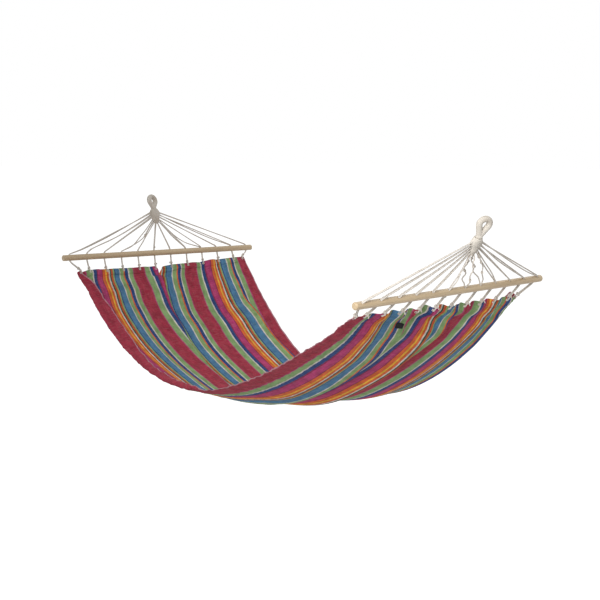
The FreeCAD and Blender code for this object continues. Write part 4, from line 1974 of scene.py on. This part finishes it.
@dataclass
class Label:
    """Plain black tape sewn to the under face below the foot hem."""

    material: bpy.types.Material
    wide: float = 34 * MM
    long: float = 18 * MM
    thickness: float = 0.9 * MM
    stand_off: float = 1.6 * MM
    lean: float = 8 * MM
    from_hem: float = 0.086
    ends: tuple[float, float] = (-0.42, -0.3)       # places across the bed, -1 near to 1 far
    touching: int = 36              # points of the cloth that it rests against

    def build(self, sheet: bpy.types.Object) -> None:
        """Lay the tape on the cloth where the construction has it.

        Args:
            sheet: The cloth.
        """
        low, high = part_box("label_tag")
        middle = (Vector(low) + Vector(high)) / 2
        tree = KDTree(len(sheet.data.vertices))
        for vert in sheet.data.vertices:
            tree.insert(vert.co, vert.index)
        tree.balance()
        share = SHAPE.share_at(self.from_hem, FOOT)
        normal = SHAPE.normal(share)
        near_end, far_end = self.ends
        across = (SHAPE.point(share, far_end) - SHAPE.point(share, near_end)).normalized()
        along = normal.cross(across)
        hem_side = 1 if along.x > 0 else -1
        columns, rows = 12, 6

        def place(column: int, row: int) -> Vector:
            """Point of the tape, on the cloth's under face.

            Args:
                column: Column of the grid.
                row: Row of the grid.

            Returns:
                The point.
            """
            side = across * self.wide * (column / columns - 0.5)
            spot = middle + side + along * self.long * (row / rows - 0.5)
            height = min((co - spot).dot(normal) for co, _, _ in tree.find_n(spot, self.touching))
            lean = self.lean * (row / rows if hem_side < 0 else 1 - row / rows)
            return spot + normal * (height - self.stand_off - self.thickness - lean)

        def flat(column: int, row: int) -> tuple[float, float]:
            """Place on the flat tape."""
            return (self.wide * column / columns, self.long * row / rows)

        tape = wrapped_grid("label_tape", columns, rows, place, False, flat)
        solidify = tape.modifiers.new("thickness", "SOLIDIFY")
        solidify.thickness = self.thickness
        solidify.offset = 0.0
        dress(tape, self.material, Slot.LABEL, Body.FOOT)
        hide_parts("label_tag")


# ---- studio -----------------------------------------------------------------------------
@dataclass
class Studio:
    """Pale floor, soft lamps and the camera."""

    floor_drop: float = 0.55
    floor_glow: float = 0.7
    camera_place: tuple[float, float, float] = (4.41922, -2.9422, 0.26393)
    camera_yaw: float = 41.06
    camera_pitch: float = 7.855
    camera_roll: float = 0.48
    camera_lens: float = 68.6

    def build(self) -> None:
        """Build the studio."""
        self.world()
        self.floor()
        self.camera()
        middle = (cad_box[0] + cad_box[1]) / 2
        self.lamp("key", middle + Vector((1.9, -2.1, 1.1)), middle + Vector((1.05, -0.3, 0.1)), 1.4, 14, 80)
        self.lamp("fill", middle + Vector((-2.9, -2.4, 1.6)), middle, 2.8, 8, 180)
        self.lamp("back", middle + Vector((0.2, 2.9, 2.4)), middle, 2.4, 12, 180)

    def camera(self) -> None:
        """Place the camera."""
        yaw, pitch = math.radians(self.camera_yaw), math.radians(self.camera_pitch)
        roll = math.radians(self.camera_roll)
        ahead = Vector((-math.cos(yaw) * math.cos(pitch), math.sin(yaw) * math.cos(pitch), -math.sin(pitch)))
        level = ahead.cross(Vector((0, 0, 1))).normalized()
        up = level.cross(ahead)
        right = level * math.cos(roll) + up * math.sin(roll)
        above = up * math.cos(roll) - level * math.sin(roll)
        data = bpy.data.cameras.new("camera")
        data.lens = self.camera_lens
        data.sensor_width = 36.0
        camera = bpy.data.objects.new("camera", data)
        turn = Matrix((right, above, -ahead)).transposed().to_4x4()
        camera.matrix_world = Matrix.Translation(self.camera_place) @ turn
        bpy.context.scene.collection.objects.link(camera)
        bpy.context.scene.camera = camera

    def lamp(
        self, name: str, place: Vector, target: Vector, size: float, power: float, spread: float
    ) -> None:
        """Add a square soft lamp.

        Args:
            name: Name of the lamp.
            place: Where it stands.
            target: What it points at.
            size: Side of its face, in metres.
            power: Power in watts.
            spread: Angle that its light spreads over, in degrees.
        """
        data = bpy.data.lights.new(name, "AREA")
        data.shape = "SQUARE"
        data.size = size
        data.energy = power
        data.spread = math.radians(spread)
        lamp = bpy.data.objects.new(name, data)
        lamp.visible_camera = False
        aim = (place - target).to_track_quat("Z", "Y").to_matrix().to_4x4()
        lamp.matrix_world = Matrix.Translation(place) @ aim
        bpy.context.scene.collection.objects.link(lamp)

    def world(self) -> None:
        """White surroundings, at full white to the camera and in reflections."""
        world = bpy.data.worlds.new("studio")
        world.use_nodes = True
        tree = world.node_tree
        tree.nodes.clear()
        path = add_node(tree, "ShaderNodeLightPath").outputs
        seen = path["Is Camera Ray"]
        for ray in ("Is Transmission Ray", "Is Glossy Ray"):
            seen = add_node(tree, "ShaderNodeMath", {0: seen, 1: path[ray]}, operation="MAXIMUM").outputs[0]
        strength = add_node(tree, "ShaderNodeMapRange", {"Value": seen, "To Min": 0.5, "To Max": 1.0})
        light = add_node(
            tree, "ShaderNodeBackground", {"Color": (1, 1, 1, 1), "Strength": strength.outputs["Result"]}
        )
        add_node(tree, "ShaderNodeOutputWorld", {"Surface": light.outputs[0]})
        bpy.context.scene.world = world

    def floor(self) -> None:
        """Wide pale floor under the hammock."""
        bm = bmesh.new()
        bmesh.ops.create_grid(bm, x_segments=1, y_segments=1, size=60.0)
        bmesh.ops.translate(bm, verts=bm.verts, vec=(0, 0, cad_box[0].z - self.floor_drop))
        mesh = bpy.data.meshes.new("floor")
        bm.to_mesh(mesh)
        bm.free()
        floor = bpy.data.objects.new("floor", mesh)
        bpy.context.scene.collection.objects.link(floor)
        material, tree, shader = new_material("matt white floor")
        shader.inputs["Base Color"].default_value = (0.8, 0.8, 0.8, 1)
        shader.inputs["Roughness"].default_value = 0.9
        shader.inputs["Specular IOR Level"].default_value = 0.0
        path = add_node(tree, "ShaderNodeLightPath").outputs
        shown = add_node(
            tree, "ShaderNodeMath", {0: path["Is Camera Ray"], 1: path["Is Glossy Ray"]}, operation="MAXIMUM"
        ).outputs[0]
        glow = add_node(
            tree, "ShaderNodeMath", {0: shown, 1: self.floor_glow}, operation="MULTIPLY"
        ).outputs[0]
        shader.inputs["Emission Color"].default_value = (1, 1, 1, 1)
        tree.links.new(glow, shader.inputs["Emission Strength"])
        mesh.materials.append(material)


# ---- build ------------------------------------------------------------------------------
def main() -> None:
    """Build the hammock's pieces in order."""
    bpy.context.scene.view_settings.view_transform = "Standard"
    Studio().build()
    cord_cotton = LaidCotton().material()
    collar_cotton = LaidCotton("plaited cotton undyed", "#d8d1c6", "#c4baac").material()
    FanCords(cord_cotton).build()
    HemKnots(cord_cotton).build()
    SpreaderBars().build()
    HookEyes(collar_cotton).build()
    Collars(collar_cotton).build()
    finish = StripedCotton()
    sheet = Bed(finish, finish.material()).build()
    Eyelets(cord_cotton).build(sheet)
    Label(LabelTape().material()).build(sheet)


if __name__ == "__main__":
    logging.basicConfig(level=logging.INFO, format="%(name)s: %(message)s")
    main()
